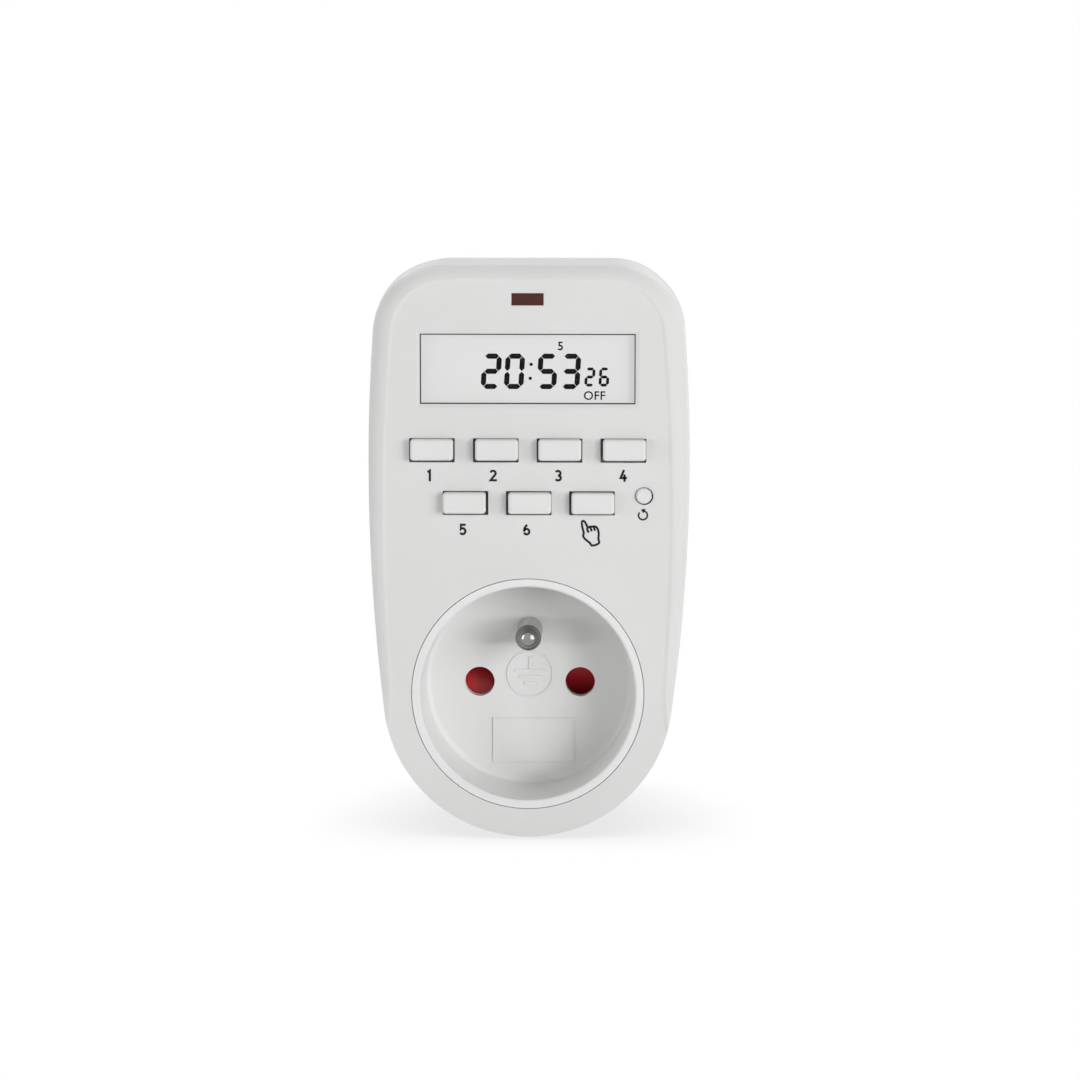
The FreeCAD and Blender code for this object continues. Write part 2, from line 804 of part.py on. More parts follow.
def make_display_window():
    """Clear plate whose front stands in the opening and whose flange lies in the rebate behind it."""
    front = f"{SUNK_FACE} + window_recess"
    body = new_body("display_window", y=front, z=WINDOW_ROW)
    sketch = new_sketch(body, "XZ_Plane")
    draw_rectangle(sketch, WINDOW_WIDTH, "window_height")
    pane = pad(body, sketch, f"{WINDOW_SEAT} - ({front}) + window_flange_depth")
    sketch = new_sketch(body, "XZ_Plane")
    bind(sketch, "AttachmentOffset.Base.z", f"({front}) - {WINDOW_SEAT}")
    margin = "2 * window_gap + 2 * window_flange"
    draw_rectangle(sketch, f"{WINDOW_WIDTH} + {margin}", f"window_height + {margin}")
    pad(body, sketch, "window_flange_depth")
    return pane


def make_lcd_glass():
    """The display cell, two thin plates bonded together, of which the rear one is shorter."""
    front = f"{WINDOW_SEAT} + window_flange_depth + window_gap"
    wide = f"{WINDOW_WIDTH} + 2 * glass_margin"
    body = new_body("lcd_glass", y=front, z=WINDOW_ROW)
    sketch = new_sketch(body, "XZ_Plane")
    draw_rectangle(sketch, wide, "window_height + 2 * glass_margin")
    pad(body, sketch, "glass_depth / 2")
    sketch = new_sketch(body, "XZ_Plane")
    bind(sketch, "AttachmentOffset.Base.z", "0 - glass_depth / 2")
    tall = "window_height + 2 * glass_margin + 2 * zebra_width"
    draw_rectangle(sketch, wide, tall)
    pad(body, sketch, "glass_depth / 2")


def make_lcd_frame():
    """The frame round the display cell. It stands on the board."""
    front = f"{INNER_FACE} + window_flange_depth + window_gap"
    body = new_body("lcd_frame", y=front, z=WINDOW_ROW)
    sketch = new_sketch(body, "XZ_Plane")
    wide = f"{WINDOW_WIDTH} + 2 * glass_margin + 2 * lens_gap"
    tall = "window_height + 2 * glass_margin + 2 * zebra_width + 2 * lens_gap"
    draw_rectangle(sketch, f"{wide} + 2 * frame_wall", f"{tall} + 2 * frame_wall")
    draw_rectangle(sketch, wide, tall)
    frame = pad(body, sketch, f"{DISPLAY_BOARD} - ({front})")
    corners = [edge for edge in frame.Shape.Edges if edge.BoundBox.YLength > 1e-3]
    reach = max(abs(edge.BoundBox.XMin) for edge in corners)
    rounded(
        body,
        frame,
        lambda edge: edge.BoundBox.YLength > 1e-3 and abs(abs(edge.BoundBox.XMin) - reach) < 1e-3,
        "frame_wall / 2",
    )


def make_zebra_strips():
    """Two rubber strips that join the display cell to the board."""
    front = f"({WINDOW_SEAT} + window_flange_depth + window_gap + glass_depth)"
    reach = f"({WINDOW_WIDTH} / 2 + glass_margin - zebra_inset)"
    edge = "(window_height / 2 + glass_margin + zebra_width)"
    strips = []
    for low, high in (
        (f"{WINDOW_ROW} + {edge} - zebra_width", f"{WINDOW_ROW} + {edge}"),
        (f"{WINDOW_ROW} - {edge}", f"{WINDOW_ROW} - {edge} + zebra_width"),
    ):
        strips.append(box((f"0 - {reach}", reach), (front, DISPLAY_BOARD), (low, high)))
    return sub_part(joined(strips), "zebra_strips")


def make_indicator_lens():
    """Red lens flush with the face, with a flange behind the wall and a stub towards the lamp."""
    body = new_body("indicator_lens", y=SUNK_FACE, z=LENS_ROW)
    for width, height, start, length in (
        ("lens_width", "lens_height", "0", f"{INNER_FACE} - {SUNK_FACE}"),
        (
            "lens_width + 2 * lens_flange",
            "lens_height + 2 * lens_flange",
            f"{INNER_FACE} - {SUNK_FACE}",
            "lens_flange_depth",
        ),
        ("lens_width - 1", "lens_height", "wall - face_recess + lens_flange_depth", "lens_stub"),
    ):
        sketch = new_sketch(body, "XZ_Plane")
        bind(sketch, "AttachmentOffset.Base.z", f"0 - ({start})")
        draw_rectangle(sketch, width, height)
        pad(body, sketch, length)


def make_indicator_led():
    """The round lamp behind the lens, standing on the board."""
    front = f"({INNER_FACE} + lens_flange_depth + lens_stub + lens_gap)"
    body = new_body("indicator_led", y=DISPLAY_BOARD, z=LENS_ROW)
    tall = f"{front} - {DISPLAY_BOARD}"
    return turn(
        body,
        [
            ("0", "0"),
            ("led_radius + 0.3", "0"),
            ("led_radius + 0.3", "0 - 0.6"),
            ("led_radius", "0 - 0.6"),
            ("led_radius", f"{tall} + 0.7"),
            ("led_radius - 0.5", tall),
            ("0", tall),
        ],
    )


# Keys


def make_key(name, across, row, play, rise):
    """A key cap: rounded block through the face, flange behind it and a stem to its dome."""
    settled = (f"{across} + {play} * key_play", f"{row} + {rise} * key_play")
    body = new_body(name, x=settled[0], y=SUNK_FACE, z=settled[1])
    top = "0 - key_proud"
    sketch = new_sketch(body, "XZ_Plane")
    bind(sketch, "AttachmentOffset.Base.z", "key_proud")
    draw_rectangle(sketch, "key_width - 2 * key_gap", "key_height - 2 * key_gap")
    flange = f"({INNER_FACE} - {SUNK_FACE} + key_gap)"
    cap = pad(body, sketch, f"{flange} + key_proud")
    front = value(top)
    cap = rounded(body, cap, lambda edge: edge.BoundBox.YLength > 1e-3, "key_rounding")
    rounded(body, cap, lambda edge: on_plane(edge, front), "key_rounding * 0.9")
    sketch = new_sketch(body, "XZ_Plane")
    bind(sketch, "AttachmentOffset.Base.z", f"0 - {flange}")
    draw_rectangle(sketch, "key_width + 2 * key_flange", "key_height + 2 * key_flange")
    pad(body, sketch, "key_flange_depth")
    add_stem(body, f"({flange} + key_flange_depth)", "key_stem_radius")


def add_stem(body, start, radius):
    """The stem from a key's flange to just above its dome."""
    end = f"{DISPLAY_BOARD} - keypad_depth - dome_height - dome_rest_gap - {SUNK_FACE}"
    sketch = new_sketch(body, "XZ_Plane")
    bind(sketch, "AttachmentOffset.Base.z", f"0 - {start}")
    draw_circle(sketch, radius)
    pad(body, sketch, f"{end} - {start}")


def make_reset_button():
    """The small round key. Its cap lies low in its hole, so that it isn't pressed by chance."""
    settled = (f"{RESET_PLACE} - reset_play", "reset_row + reset_play")
    body = new_body("reset_button", x=settled[0], y=SUNK_FACE, z=settled[1])
    flange = f"({INNER_FACE} - {SUNK_FACE} + key_gap)"
    cap = "reset_radius - reset_gap"
    low = "0 - key_proud / 3"
    turn(
        body,
        [
            ("0", low),
            (f"{cap} - key_rounding / 2", low),
            (cap, f"{low} + key_rounding / 2"),
            (cap, flange),
            ("reset_radius + key_flange", flange),
            ("reset_radius + key_flange", f"{flange} + key_flange_depth"),
            ("0", f"{flange} + key_flange_depth"),
        ],
    )
    add_stem(body, f"({flange} + key_flange_depth)", "key_stem_radius - 0.2")


def make_rubber_keypad():
    """One rubber sheet on the board, with a dome under each key."""
    sheet_front = f"({DISPLAY_BOARD} - keypad_depth)"
    reach = f"({RESET_PLACE} + dome_radius + key_gap)"
    low = "(lower_key_row - key_height / 2 - keypad_margin)"
    high = "(upper_key_row + key_height / 2 + keypad_margin)"
    pieces = [box((f"0 - {reach}", reach), (sheet_front, DISPLAY_BOARD), (low, high))]
    places = [(across, row) for name, across, row, play, rise in KEYS]
    for across, row in places + [(RESET_PLACE, "reset_row")]:
        pieces.append(
            cone("dome_radius", "dome_top_radius", sheet_front, "dome_height", across, row)
        )
    return sub_part(joined(pieces), "rubber_keypad")


# Boards and what they carry


def make_board(label, front):
    """A circuit board, narrower between the upper screw columns, drilled for its screws."""
    body = new_body(label, y=front)
    half, tab = f"{BOARD_WIDTH} / 2", f"{BOARD_TAB_WIDTH} / 2"
    sketch = new_sketch(body, "XZ_Plane")
    draw_outline(
        sketch,
        [
            (f"0 - {half}", "board_bottom"),
            (half, "board_bottom"),
            (half, BOARD_SHOULDER_ROW),
            (tab, BOARD_SHOULDER_ROW),
            (tab, BOARD_TOP),
            (f"0 - {tab}", BOARD_TOP),
            (f"0 - {tab}", BOARD_SHOULDER_ROW),
            (f"0 - {half}", BOARD_SHOULDER_ROW),
        ],
    )
    if label == "display_board":
        rows = [(UPPER_POST_PLACE, UPPER_POST_ROW), ("lower_post_place", "lower_post_row")]
    else:
        rows = [(STANDOFF_PLACE, "upper_standoff_row"), (STANDOFF_PLACE, "lower_standoff_row")]
    for across, row in rows:
        for side in ("0 - ", "0 + "):
            draw_circle(sketch, "screw_radius + screw_gap", side + across, row)
    pad(body, sketch, "board_thickness")


def make_board_screws():
    """Eight small pan-head screws, four for each board."""
    pieces = []
    seat = value(DISPLAY_BOARD_BACK)
    head, shank = value("screw_head_radius"), value("screw_radius")
    deep, length = value("screw_head_depth"), value("screw_length")
    grip = min(length, seat - value(INNER_FACE) - 1)
    for x, z in post_places():
        screw = cylinder(head, seat, seat + deep, x, z)
        pieces.append(screw.fuse(cylinder(shank, seat - grip, seat, x, z)))
    seat = value(POWER_BOARD)
    grip = min(length, value(BACK) - 1.2 - seat)
    for x, z in standoff_places():
        screw = cylinder(head, seat - deep, seat, x, z)
        pieces.append(screw.fuse(cylinder(shank, seat, seat + grip, x, z)))
    return shaped("board_screws", Part.makeCompound(pieces))


def make_housing_screws():
    """Four pan-head screws, sunk in the rear shell's wells."""
    pieces = []
    seat = value(BACK) - value("well_depth")
    length = min(value("housing_screw_length"), seat - value(INNER_FACE) - 1.5)
    head, shank = value("housing_head_radius"), value("housing_screw_radius")
    deep = value("housing_head_depth")
    for x, z in column_places():
        top = cylinder(head, seat, seat + deep, x, z)
        rim = [edge for edge in top.Edges if on_plane(edge, seat + deep)]
        top = top.makeFillet(deep * 0.45, rim)
        sunk = seat + deep * 0.6
        for wide, tall in ((0.26 * head, 1.2 * head), (1.2 * head, 0.26 * head)):
            recess = Part.makeBox(wide, deep, tall, Vector(x - wide / 2, sunk, z - tall / 2))
            top = top.cut(recess)
        pieces.append(top.fuse(cylinder(shank, seat - length, seat, x, z)))
    return shaped("housing_screws", Part.makeCompound(pieces))


def make_controller_chip():
    """The controller, on the back of the display board."""
    body = new_body("controller_chip", y=DISPLAY_BOARD_BACK, z="chip_row")
    sketch = new_sketch(body, "XZ_Plane")
    draw_rectangle(sketch, "chip_width", "chip_width")
    chip = pad(body, sketch, "chip_depth")
    back = value("chip_depth")
    bevelled(body, chip, lambda edge: on_plane(edge, back), "chip_depth / 3")


def make_clock_crystal():
    """The watch crystal's can, lying on the back of the display board."""
    can = doc.addObject("Part::Cylinder", "Can")
    bind(can, "Radius", "crystal_radius")
    bind(can, "Height", "crystal_length")
    place(can, "crystal_place", f"{DISPLAY_BOARD_BACK} + crystal_radius", "crystal_row")
    return sub_part(can, "clock_crystal")


def make_backup_battery():
    """The button cell that keeps the clock, with its crimped edge."""
    body = new_body("backup_battery", x="battery_place", y=DISPLAY_BOARD_BACK, z="battery_row")
    turn(
        body,
        [
            ("0", "0"),
            ("battery_radius - 1", "0"),
            ("battery_radius - 0.8", "0.7"),
            ("battery_radius - 0.2", "1"),
            ("battery_radius", "1.3"),
            ("battery_radius", "battery_depth - 0.4"),
            ("battery_radius - 0.4", "0 + battery_depth"),
            ("0", "0 + battery_depth"),
        ],
    )


def make_board_link():
    """The flat lead between the two boards, with some slack."""
    body = new_body("board_link", x=f"link_inset - {BOARD_WIDTH} / 2", y=DISPLAY_BOARD_BACK, z="link_row")
    reach = f"({POWER_BOARD} - {DISPLAY_BOARD_BACK})"
    low, high = "0 - link_sag", "link_thickness - link_sag"
    sketch = new_sketch(body, "YZ_Plane")
    draw_outline(
        sketch,
        [
            ("0", "0"),
            (f"{reach} * 0.12", "0"),
            (f"{reach} * 0.3", low),
            (f"{reach} * 0.7", low),
            (f"{reach} * 0.88", "0"),
            (reach, "0"),
            (reach, "0 + link_thickness"),
            (f"{reach} * 0.86", "0 + link_thickness"),
            (f"{reach} * 0.68", high),
            (f"{reach} * 0.32", high),
            (f"{reach} * 0.14", "0 + link_thickness"),
            ("0", "0 + link_thickness"),
        ],
    )
    mid_pad(body, sketch, "link_width")


def make_board_block(label, width, height, depth, x, z, rounding):
    """A moulded component that stands on the power board and faces the front."""
    body = new_body(label, x=x, y=POWER_BOARD, z=z)
    sketch = new_sketch(body, "XZ_Plane")
    draw_rectangle(sketch, width, height)
    block = pad(body, sketch, depth, backward=False)
    front = -value(depth)
    rounded(
        body,
        block,
        lambda edge: on_plane(edge, front) or edge.BoundBox.YLength > 1e-3,
        rounding,
    )


def make_smoothing_capacitor():
    """The electrolytic can, with the groove above its base."""
    body = new_body("smoothing_capacitor", x="can_place", y=POWER_BOARD, z="can_row")
    turn(
        body,
        [
            ("0", "0"),
            ("0 + can_radius", "0"),
            ("0 + can_radius", "0 - 1.2"),
            ("can_radius - 0.35", "0 - 1.6"),
            ("0 + can_radius", "0 - 2"),
            ("0 + can_radius", "0.4 - can_depth"),
            ("can_radius - 0.4", "0 - can_depth"),
            ("0", "0 - can_depth"),
        ],
    )


def make_varistor():
    """The coated disc that takes voltage peaks, standing on its edge."""
    disc = doc.addObject("Part::Cylinder", "Disc")
    bind(disc, "Radius", "disc_radius")
    bind(disc, "Height", "disc_thickness")
    disc.Placement = Placement(Vector(), Rotation(Vector(0, 1, 0), 90))
    place(
        disc,
        f"{STANDOFF_PLACE} - disc_inset - disc_thickness / 2",
        f"{POWER_BOARD} - disc_radius",
        "disc_row",
    )
    return sub_part(disc, "varistor")


def make_rectifier_diodes():
    """Four small diodes lying side by side on the power board."""
    pieces = []
    for index in range(4):
        diode = doc.addObject("Part::Cylinder", "Diode")
        bind(diode, "Radius", "diode_radius")
        bind(diode, "Height", "diode_length")
        place(
            diode,
            f"diode_place + {index - 1.5} * diode_pitch",
            f"{POWER_BOARD} - diode_radius",
            "diode_row",
        )
        pieces.append(diode)
    return sub_part(joined(pieces), "rectifier_diodes")


# Wires


def rounded_path(points):
    """Straight runs joined by tangent arcs as large as the shorter run of each pair allows."""
    edges, last = [], points[0]
    for before, corner, after in zip(points[:-2], points[1:-1], points[2:]):
        come, go = corner - before, after - corner
        cut = 0.45 * min(come.Length, go.Length)
        come.normalize()
        go.normalize()
        start, end = corner - come * cut, corner + go * cut
        half = come.getAngle(go) / 2
        if half < 0.01:
            continue
        radius = cut / math.tan(half)
        middle = (go - come).normalize()
        centre = corner + middle * (radius / math.cos(half))
        edges.append(Part.LineSegment(last, start).toShape())
        edges.append(Part.Arc(start, centre - middle * radius, end).toShape())
        last = end
    edges.append(Part.LineSegment(last, points[-1]).toShape())
    return Part.Wire(edges)


def make_wire(label, points, radius):
    """A round wire along a route."""
    path = rounded_path(points)
    ring = Part.Wire([Part.makeCircle(radius, points[0], points[1] - points[0])])
    return shaped(label, path.makePipeShell([ring], True, False))


# Socket


def make_socket_cup():
    """The socket insert: rim flush with the face, flange behind it, well, and shutter chamber."""
    body = new_body("socket_cup", y=SUNK_FACE)
    flange = f"({INNER_FACE} - {SUNK_FACE})"
    shell, back = CUP_SHELL_RADIUS, "(cup_depth + cup_floor)"
    skirt_end = f"({back} + chamber_depth)"
    cup = turn(
        body,
        [
            ("0", "0 + cup_depth"),
            ("0 + cup_floor_radius", "0 + cup_depth"),
            ("0 + cup_radius", "0"),
            ("0 + ring_radius", "0"),
            ("0 + ring_radius", flange),
            (f"ring_radius + {CUP_FLANGE}", flange),
            (f"ring_radius + {CUP_FLANGE}", f"{flange} + cup_flange_depth"),
            (shell, f"{flange} + cup_flange_depth"),
            (shell, skirt_end),
            (f"{shell} - cup_shell", skirt_end),
            (f"{shell} - cup_shell", back),
            ("0", back),
        ],
    )
    mouth = value("cup_radius")
    cup = rounded(body, cup, lambda edge: circle_at(edge, mouth, 0.0), "mouth_rounding")
    floor, deep = value("cup_floor_radius"), value("cup_depth")
    rounded(body, cup, lambda edge: circle_at(edge, floor, deep), "cup_floor_rounding")
    sketch = new_sketch(body, "XZ_Plane")
    draw_circle(sketch, "line_hole_radius", "0 - contact_pitch / 2")
    draw_circle(sketch, "line_hole_radius", "contact_pitch / 2")
    draw_circle(sketch, "earth_shank_radius + earth_hole_gap", "0", "earth_offset")
    pocket_through(body, sketch)


def make_earth_pin():
    """The socket's earth pin, with a neck below its ball nose and a rivet at its root."""
    body = new_body("earth_pin", y=CUP_FLOOR, z="earth_offset")
    tip = "0 - earth_pin_length"
    root = f"({CARRIER_BACK} - {CUP_FLOOR})"
    head = f"({root} + strap_thickness)"
    nose = "earth_nose_radius"
    centre = f"({tip} + {nose})"
    sketch = new_sketch(body, "XY_Plane")
    slope = "(earth_pin_radius - earth_nose_radius)"
    shaft = [
        (f"0 + {nose}", centre),
        (f"0 + {nose}", f"{centre} + earth_neck"),
        ("0 + earth_pin_radius", f"{centre} + earth_neck + {slope}"),
        ("0 + earth_pin_radius", "0"),
        ("0 + earth_shank_radius", "0"),
        ("0 + earth_shank_radius", root),
        ("0 + rivet_shank_radius", root),
        ("0 + rivet_shank_radius", head),
        ("0 + rivet_radius", head),
        ("0 + rivet_radius", f"{head} + rivet_depth"),
        ("0", f"{head} + rivet_depth"),
        ("0", tip),
    ]
    last = len(shaft) - 2
    points = [Vector(value(x), value(y), 0) for x, y in shaft]
    for start, end in zip(points[:-1], points[1:]):
        sketch.addGeometry(Part.LineSegment(start, end))
    middle = Vector(0, value(centre), 0)
    circle = Part.Circle(middle, Vector(0, 0, 1), value(nose))
    ball = sketch.addGeometry(Part.ArcOfCircle(circle, -math.pi / 2, 0.0))
    for index in range(last):
        sketch.addConstraint(Sketcher.Constraint("Coincident", index, 2, index + 1, 1))
    sketch.addConstraint(Sketcher.Constraint("Coincident", ball, 1, last, 2))
    sketch.addConstraint(Sketcher.Constraint("Coincident", ball, 2, 0, 1))
    for index, (x, y) in enumerate(shaft[:-1]):
        tie(sketch, "DistanceX", (index, 1), x)
        tie(sketch, "DistanceY", (index, 1), y)
    tie(sketch, "DistanceY", (ball, 3), centre)
    sketch.addConstraint(Sketcher.Constraint("PointOnObject", ball, 3, -2))
    sketch.addConstraint(Sketcher.Constraint("PointOnObject", last, 2, -2))
    feature = body.newObject("PartDesign::Revolution", "Revolution")
    feature.Profile = sketch
    feature.ReferenceAxis = (sketch, ["V_Axis"])
    feature.Angle = 360
    doc.recompute()


def shutter_section(angle, thickness, back):
    """One radial section of a shutter wing."""
    inner, outer = value("shutter_hub_radius") * 0.6, value("shutter_radius")
    along = Vector(math.cos(angle), 0, math.sin(angle))
    front = Vector(0, back - thickness, 0)
    rear = Vector(0, back, 0)
    corners = [along * inner + rear, along * outer + rear, along * outer + front]
    corners += [along * inner + front]
    return Part.makePolygon(corners + corners[:1])


def make_safety_shutter():
    """The rotor behind the line holes: each wing is a ramp, so that two pins together turn it."""
    front = value(CHAMBER) + value("shutter_gap")
    back = value(CARRIER) - value("shutter_gap")
    half = math.radians(value("shutter_half_angle"))
    thin, thick = value("shutter_thin"), value("shutter_thick")
    wings = []
    for middle in (0.0, math.pi):
        sections = [
            shutter_section(middle - half, thin, back),
            shutter_section(middle, (thin + thick) / 2, back),
            shutter_section(middle + half, thick, back),
        ]
        wings.append(Part.makeLoft(sections, True, True))
    hub = cylinder(value("shutter_hub_radius"), front, back)
    bore = value("shutter_post_radius + shutter_running_gap")
    shape = hub.fuse(wings).cut(cylinder(bore, front - 1, back + 1))
    return shaped("safety_shutter", shape.removeSplitter())


def make_shutter_spring():
    """The sprung wire that turns the shutter back, bent between the earth pin and a wing."""
    wire = value("spring_wire")
    y = value(CARRIER) - value("shutter_gap") - value("shutter_thick") * 0.6
    lean = math.radians(value("shutter_half_angle"))
    along = Vector(math.cos(lean), 0, math.sin(lean))
    off = Vector(-math.sin(lean), 0, math.cos(lean)) * (wire / 2)
    flank = value("earth_shank_radius") + wire / 2
    corner = along * ((flank - off.x) / along.x) + off
    height = Vector(0, y, 0)
    points = [
        Vector(flank, 0, value("earth_offset") + 1.8) + height,
        corner + height,
        along * value("spring_reach") + off + height,
    ]
    return make_wire("shutter_spring", points, wire / 2)


def make_contact_carrier():
    """The moulding behind the shutter: its plate, the rotor's post and a pocket for each contact."""
    y0, y1, end = CARRIER, CARRIER_BACK, TOWER_END
    post_end = f"({CHAMBER} + shutter_gap / 3)"
    pieces = [rod(CUP_SHELL_RADIUS, y0, y1), rod("shutter_post_radius", post_end, f"{y0} + 0.5")]
    half, wall = "tower_width / 2", "tower_wall"
    room = []
    for side in ("0 - ", "0 + "):
        middle = f"({side}contact_pitch / 2)"
        x = (f"{middle} - {half}", f"{middle} + {half}")
        pieces.append(box(x, (f"{y1} - 0.5", end), (f"0 - {half}", half)))
        x = (f"{middle} - {half} + {wall}", f"{middle} + {half} - {wall}")
        z = (f"{wall} - {half}", f"{half} - {wall}")
        room.append(box(x, (y1, f"{end} + 1"), z))
        room.append(rod("line_hole_radius", f"{y0} - 1", f"{y1} + 1", middle))
    earth = "earth_shank_radius + earth_hole_gap / 2"
    room.append(rod(earth, f"{y0} - 1", f"{y1} + 1", "0", "earth_offset"))
    return sub_part(without(joined(pieces), joined(room)), "contact_carrier")


def contact_outline(tail):
    """Side view of a socket contact: a base with two sprung leaves that close on the pin."""
    strip, span, grip = "contact_strip", "contact_span / 2", "contact_grip / 2"
    mouth = f"({CARRIER_BACK} - {TOWER_END} + 0.4)"
    neck = f"({mouth} + 1.6)"
    elbow = f"({mouth} * 0.55)"
    right = [
        (f"{span} - {strip}", "0"),
        (f"{span} - {strip}", elbow),
        (f"{grip} - {strip} * 0.1", neck),
        (f"{span} - {strip}", mouth),
        (f"0 + {span}", mouth),
        (f"{grip} + {strip}", neck),
        (f"0 + {span}", elbow),
        (f"0 + {span}", "0"),
    ]
    left = [(f"0 - ({x})", y) for x, y in reversed(right)]
    return left[:-1] + [left[-1]] + right + tail


def make_contact(label, middle, tail):
    """A sprung contact bent from strip, its base closing its pocket in the carrier."""
    body = new_body(label, x=middle, y=TOWER_END)
    sketch = new_sketch(body, "YZ_Plane")
    outline = [(y, x) for x, y in contact_outline(tail)]
    draw_outline(sketch, outline)
    mid_pad(body, sketch, "contact_width")


def make_line_contact():
    """The live contact, with a tab for its lead above the pocket."""
    high = "(tower_width / 2 + contact_tab)"
    low = "(0 - tower_width / 2 + tower_wall)"
    tail = [(high, "0"), (high, "0 + contact_strip"), (low, "0 + contact_strip"), (low, "0")]
    make_contact("line_contact", "contact_pitch / 2", tail)


def make_neutral_contact():
    """The neutral contact. Its tail bends back to meet the root of its own plug pin."""
    back = f"({PIN_ROOT} - {TOWER_END})"
    low = "(0 - tower_width / 2 - contact_strip)"
    tail = [
        ("(tower_width / 2 - tower_wall)", "0"),
        ("(tower_width / 2 - tower_wall)", "0 + contact_strip"),
        (f"{low} + contact_strip", "0 + contact_strip"),
        (f"{low} + contact_strip", f"{back} - contact_strip"),
        ("0 + pin_radius", f"{back} - contact_strip"),
        ("0 + pin_radius", back),
        (low, back),
        (low, "0"),
    ]
    make_contact("neutral_contact", "0 - contact_pitch / 2", tail)


# Plug


def make_plug_base():
    """The plug moulding: boss with side notches and flats, end wall, pin towers, flange, skirt."""
    end_inside, root = BOSS_END_INSIDE, f"({PIN_ROOT} + pin_collar_depth)"
    boss_in = BOSS_INNER_RADIUS
    outer = joined(
        [
            rod("boss_radius", BASE_FLANGE, "0"),
            rod(BASE_FLANGE_RADIUS, BASE_FLANGE, INNER_BACK),
            rod(CUP_SHELL_RADIUS, CARRIER_BACK, f"{BASE_FLANGE} + 0.5"),
        ]
    )
    skirt_in = f"({CUP_SHELL_RADIUS} - base_skirt_wall)"
    half_notch = "skirt_notch_width / 2"
    reach = "(boss_radius + 3)"
    half, flat = "notch_width / 2", "(clip_width / 2 + clip_gap)"
    clip_end = f"(clip_thickness + clip_gap - boss_end / 2)"
    room = [
        rod(boss_in, f"{BASE_FLANGE} - 0.5", end_inside),
        rod(skirt_in, f"{CARRIER_BACK} - 1", BASE_FLANGE),
        box(
            (f"0 - {half_notch}", half_notch),
            (f"{CARRIER_BACK} + 1.5", BASE_FLANGE),
            ("boss_radius / 2", "boss_radius + cup_radius"),
        ),
    ]
    for low, high in (
        (f"0 - {reach}", "notch_depth - boss_radius"),
        ("boss_radius - notch_depth", reach),
    ):
        room.append(box((low, high), (BACK, "1"), (f"0 - {half}", half)))
    for low, high in ((f"0 - {reach}", f"0 - {CLIP_FLAT}"), (CLIP_FLAT, reach)):
        room.append(box((f"0 - {flat}", flat), (f"{BACK} + 0.01", clip_end), (low, high)))
    for low, high in ((f"0 - {reach}", f"2 - {boss_in}"), (f"{boss_in} - 2", reach)):
        slot = (BACK, f"{BACK} + clip_thickness + 2 * clip_gap")
        room.append(box((f"0 - {flat}", flat), slot, (low, high)))
    towers, bores = [], []
    for side in ("0 - ", "0 + "):
        middle = f"({side}contact_pitch / 2)"
        towers.append(rod("tower_radius", root, f"{end_inside} + 0.5", middle))
        bores.append(rod("0 + pin_shank_radius", f"{root} - 1", "1", middle))
    bores.append(rod("earth_bore_radius", f"{end_inside} - 1", "1", "0", "earth_offset"))
    hollow = joined([without(outer, joined(room))] + towers)
    return sub_part(without(hollow, joined(bores)), "plug_base")


def make_plug_pin(label, side):
    """A solid plug pin with a tapered nose, and a collar behind its tower."""
    body = new_body(label, x=f"{side}contact_pitch / 2")
    collar = f"({PIN_ROOT} + pin_collar_depth)"
    pin = turn(
        body,
        [
            ("0", PIN_ROOT),
            ("0 + pin_collar_radius", PIN_ROOT),
            ("0 + pin_collar_radius", collar),
            ("0 + pin_shank_radius", collar),
            ("0 + pin_shank_radius", "0"),
            ("0 + pin_radius", "0"),
            ("0 + pin_radius", "0 + pin_length"),
            ("0", "0 + pin_length"),
        ],
    )
    radius, tip = value("pin_radius"), value("pin_length")
    rounded(body, pin, lambda edge: circle_at(edge, radius, tip), "pin_nose")


def make_earth_strap():
    """One bent strip: it joins the earth pin, the receptacle and both clips."""
    body = new_body("earth_strap")
    thick = "strap_thickness"
    front, back = CARRIER_BACK, f"({BACK} + clip_thickness + clip_gap)"
    top = "(earth_offset + strap_rise)"
    low = f"(strap_margin - {BOSS_INNER_RADIUS})"
    sketch = new_sketch(body, "YZ_Plane")
    draw_outline(
        sketch,
        [
            (front, "earth_offset - rivet_radius - 1"),
            (f"{front} + {thick}", "earth_offset - rivet_radius - 1"),
            (f"{front} + {thick}", f"{top} - {thick}"),
            (back, f"{top} - {thick}"),
            (back, low),
            (f"{back} + {thick}", low),
            (f"{back} + {thick}", top),
            (front, top),
        ],
    )
    mid_pad(body, sketch, "strap_width")
    sketch = new_sketch(body, "XZ_Plane")
    bind(sketch, "AttachmentOffset.Base.z", f"1 - {front}")
    draw_circle(sketch, "0 + rivet_shank_radius", "0", "earth_offset")
    hole = body.newObject("PartDesign::Pocket", "Pocket")
    hole.Profile = sketch
    hole.Length = 3
    doc.recompute()


def make_earth_receptacle():
    """The slit tube behind the plug's earth hole, its root on the strap."""
    root = f"({BACK} + clip_thickness + clip_gap + strap_thickness)"
    outer = "receptacle_bore + receptacle_wall"
    tube = without(
        rod(outer, root, BOSS_END_INSIDE, "0", "earth_offset"),
        rod("receptacle_bore", f"{root} + 1", "1", "0", "earth_offset"),
    )
    slit = box(
        ("0 - receptacle_wall / 2", "receptacle_wall / 2"),
        (f"{root} + 3", "1"),
        ("earth_offset - boss_radius", "earth_offset + boss_radius"),
    )
    return sub_part(without(tube, slit), "earth_receptacle")


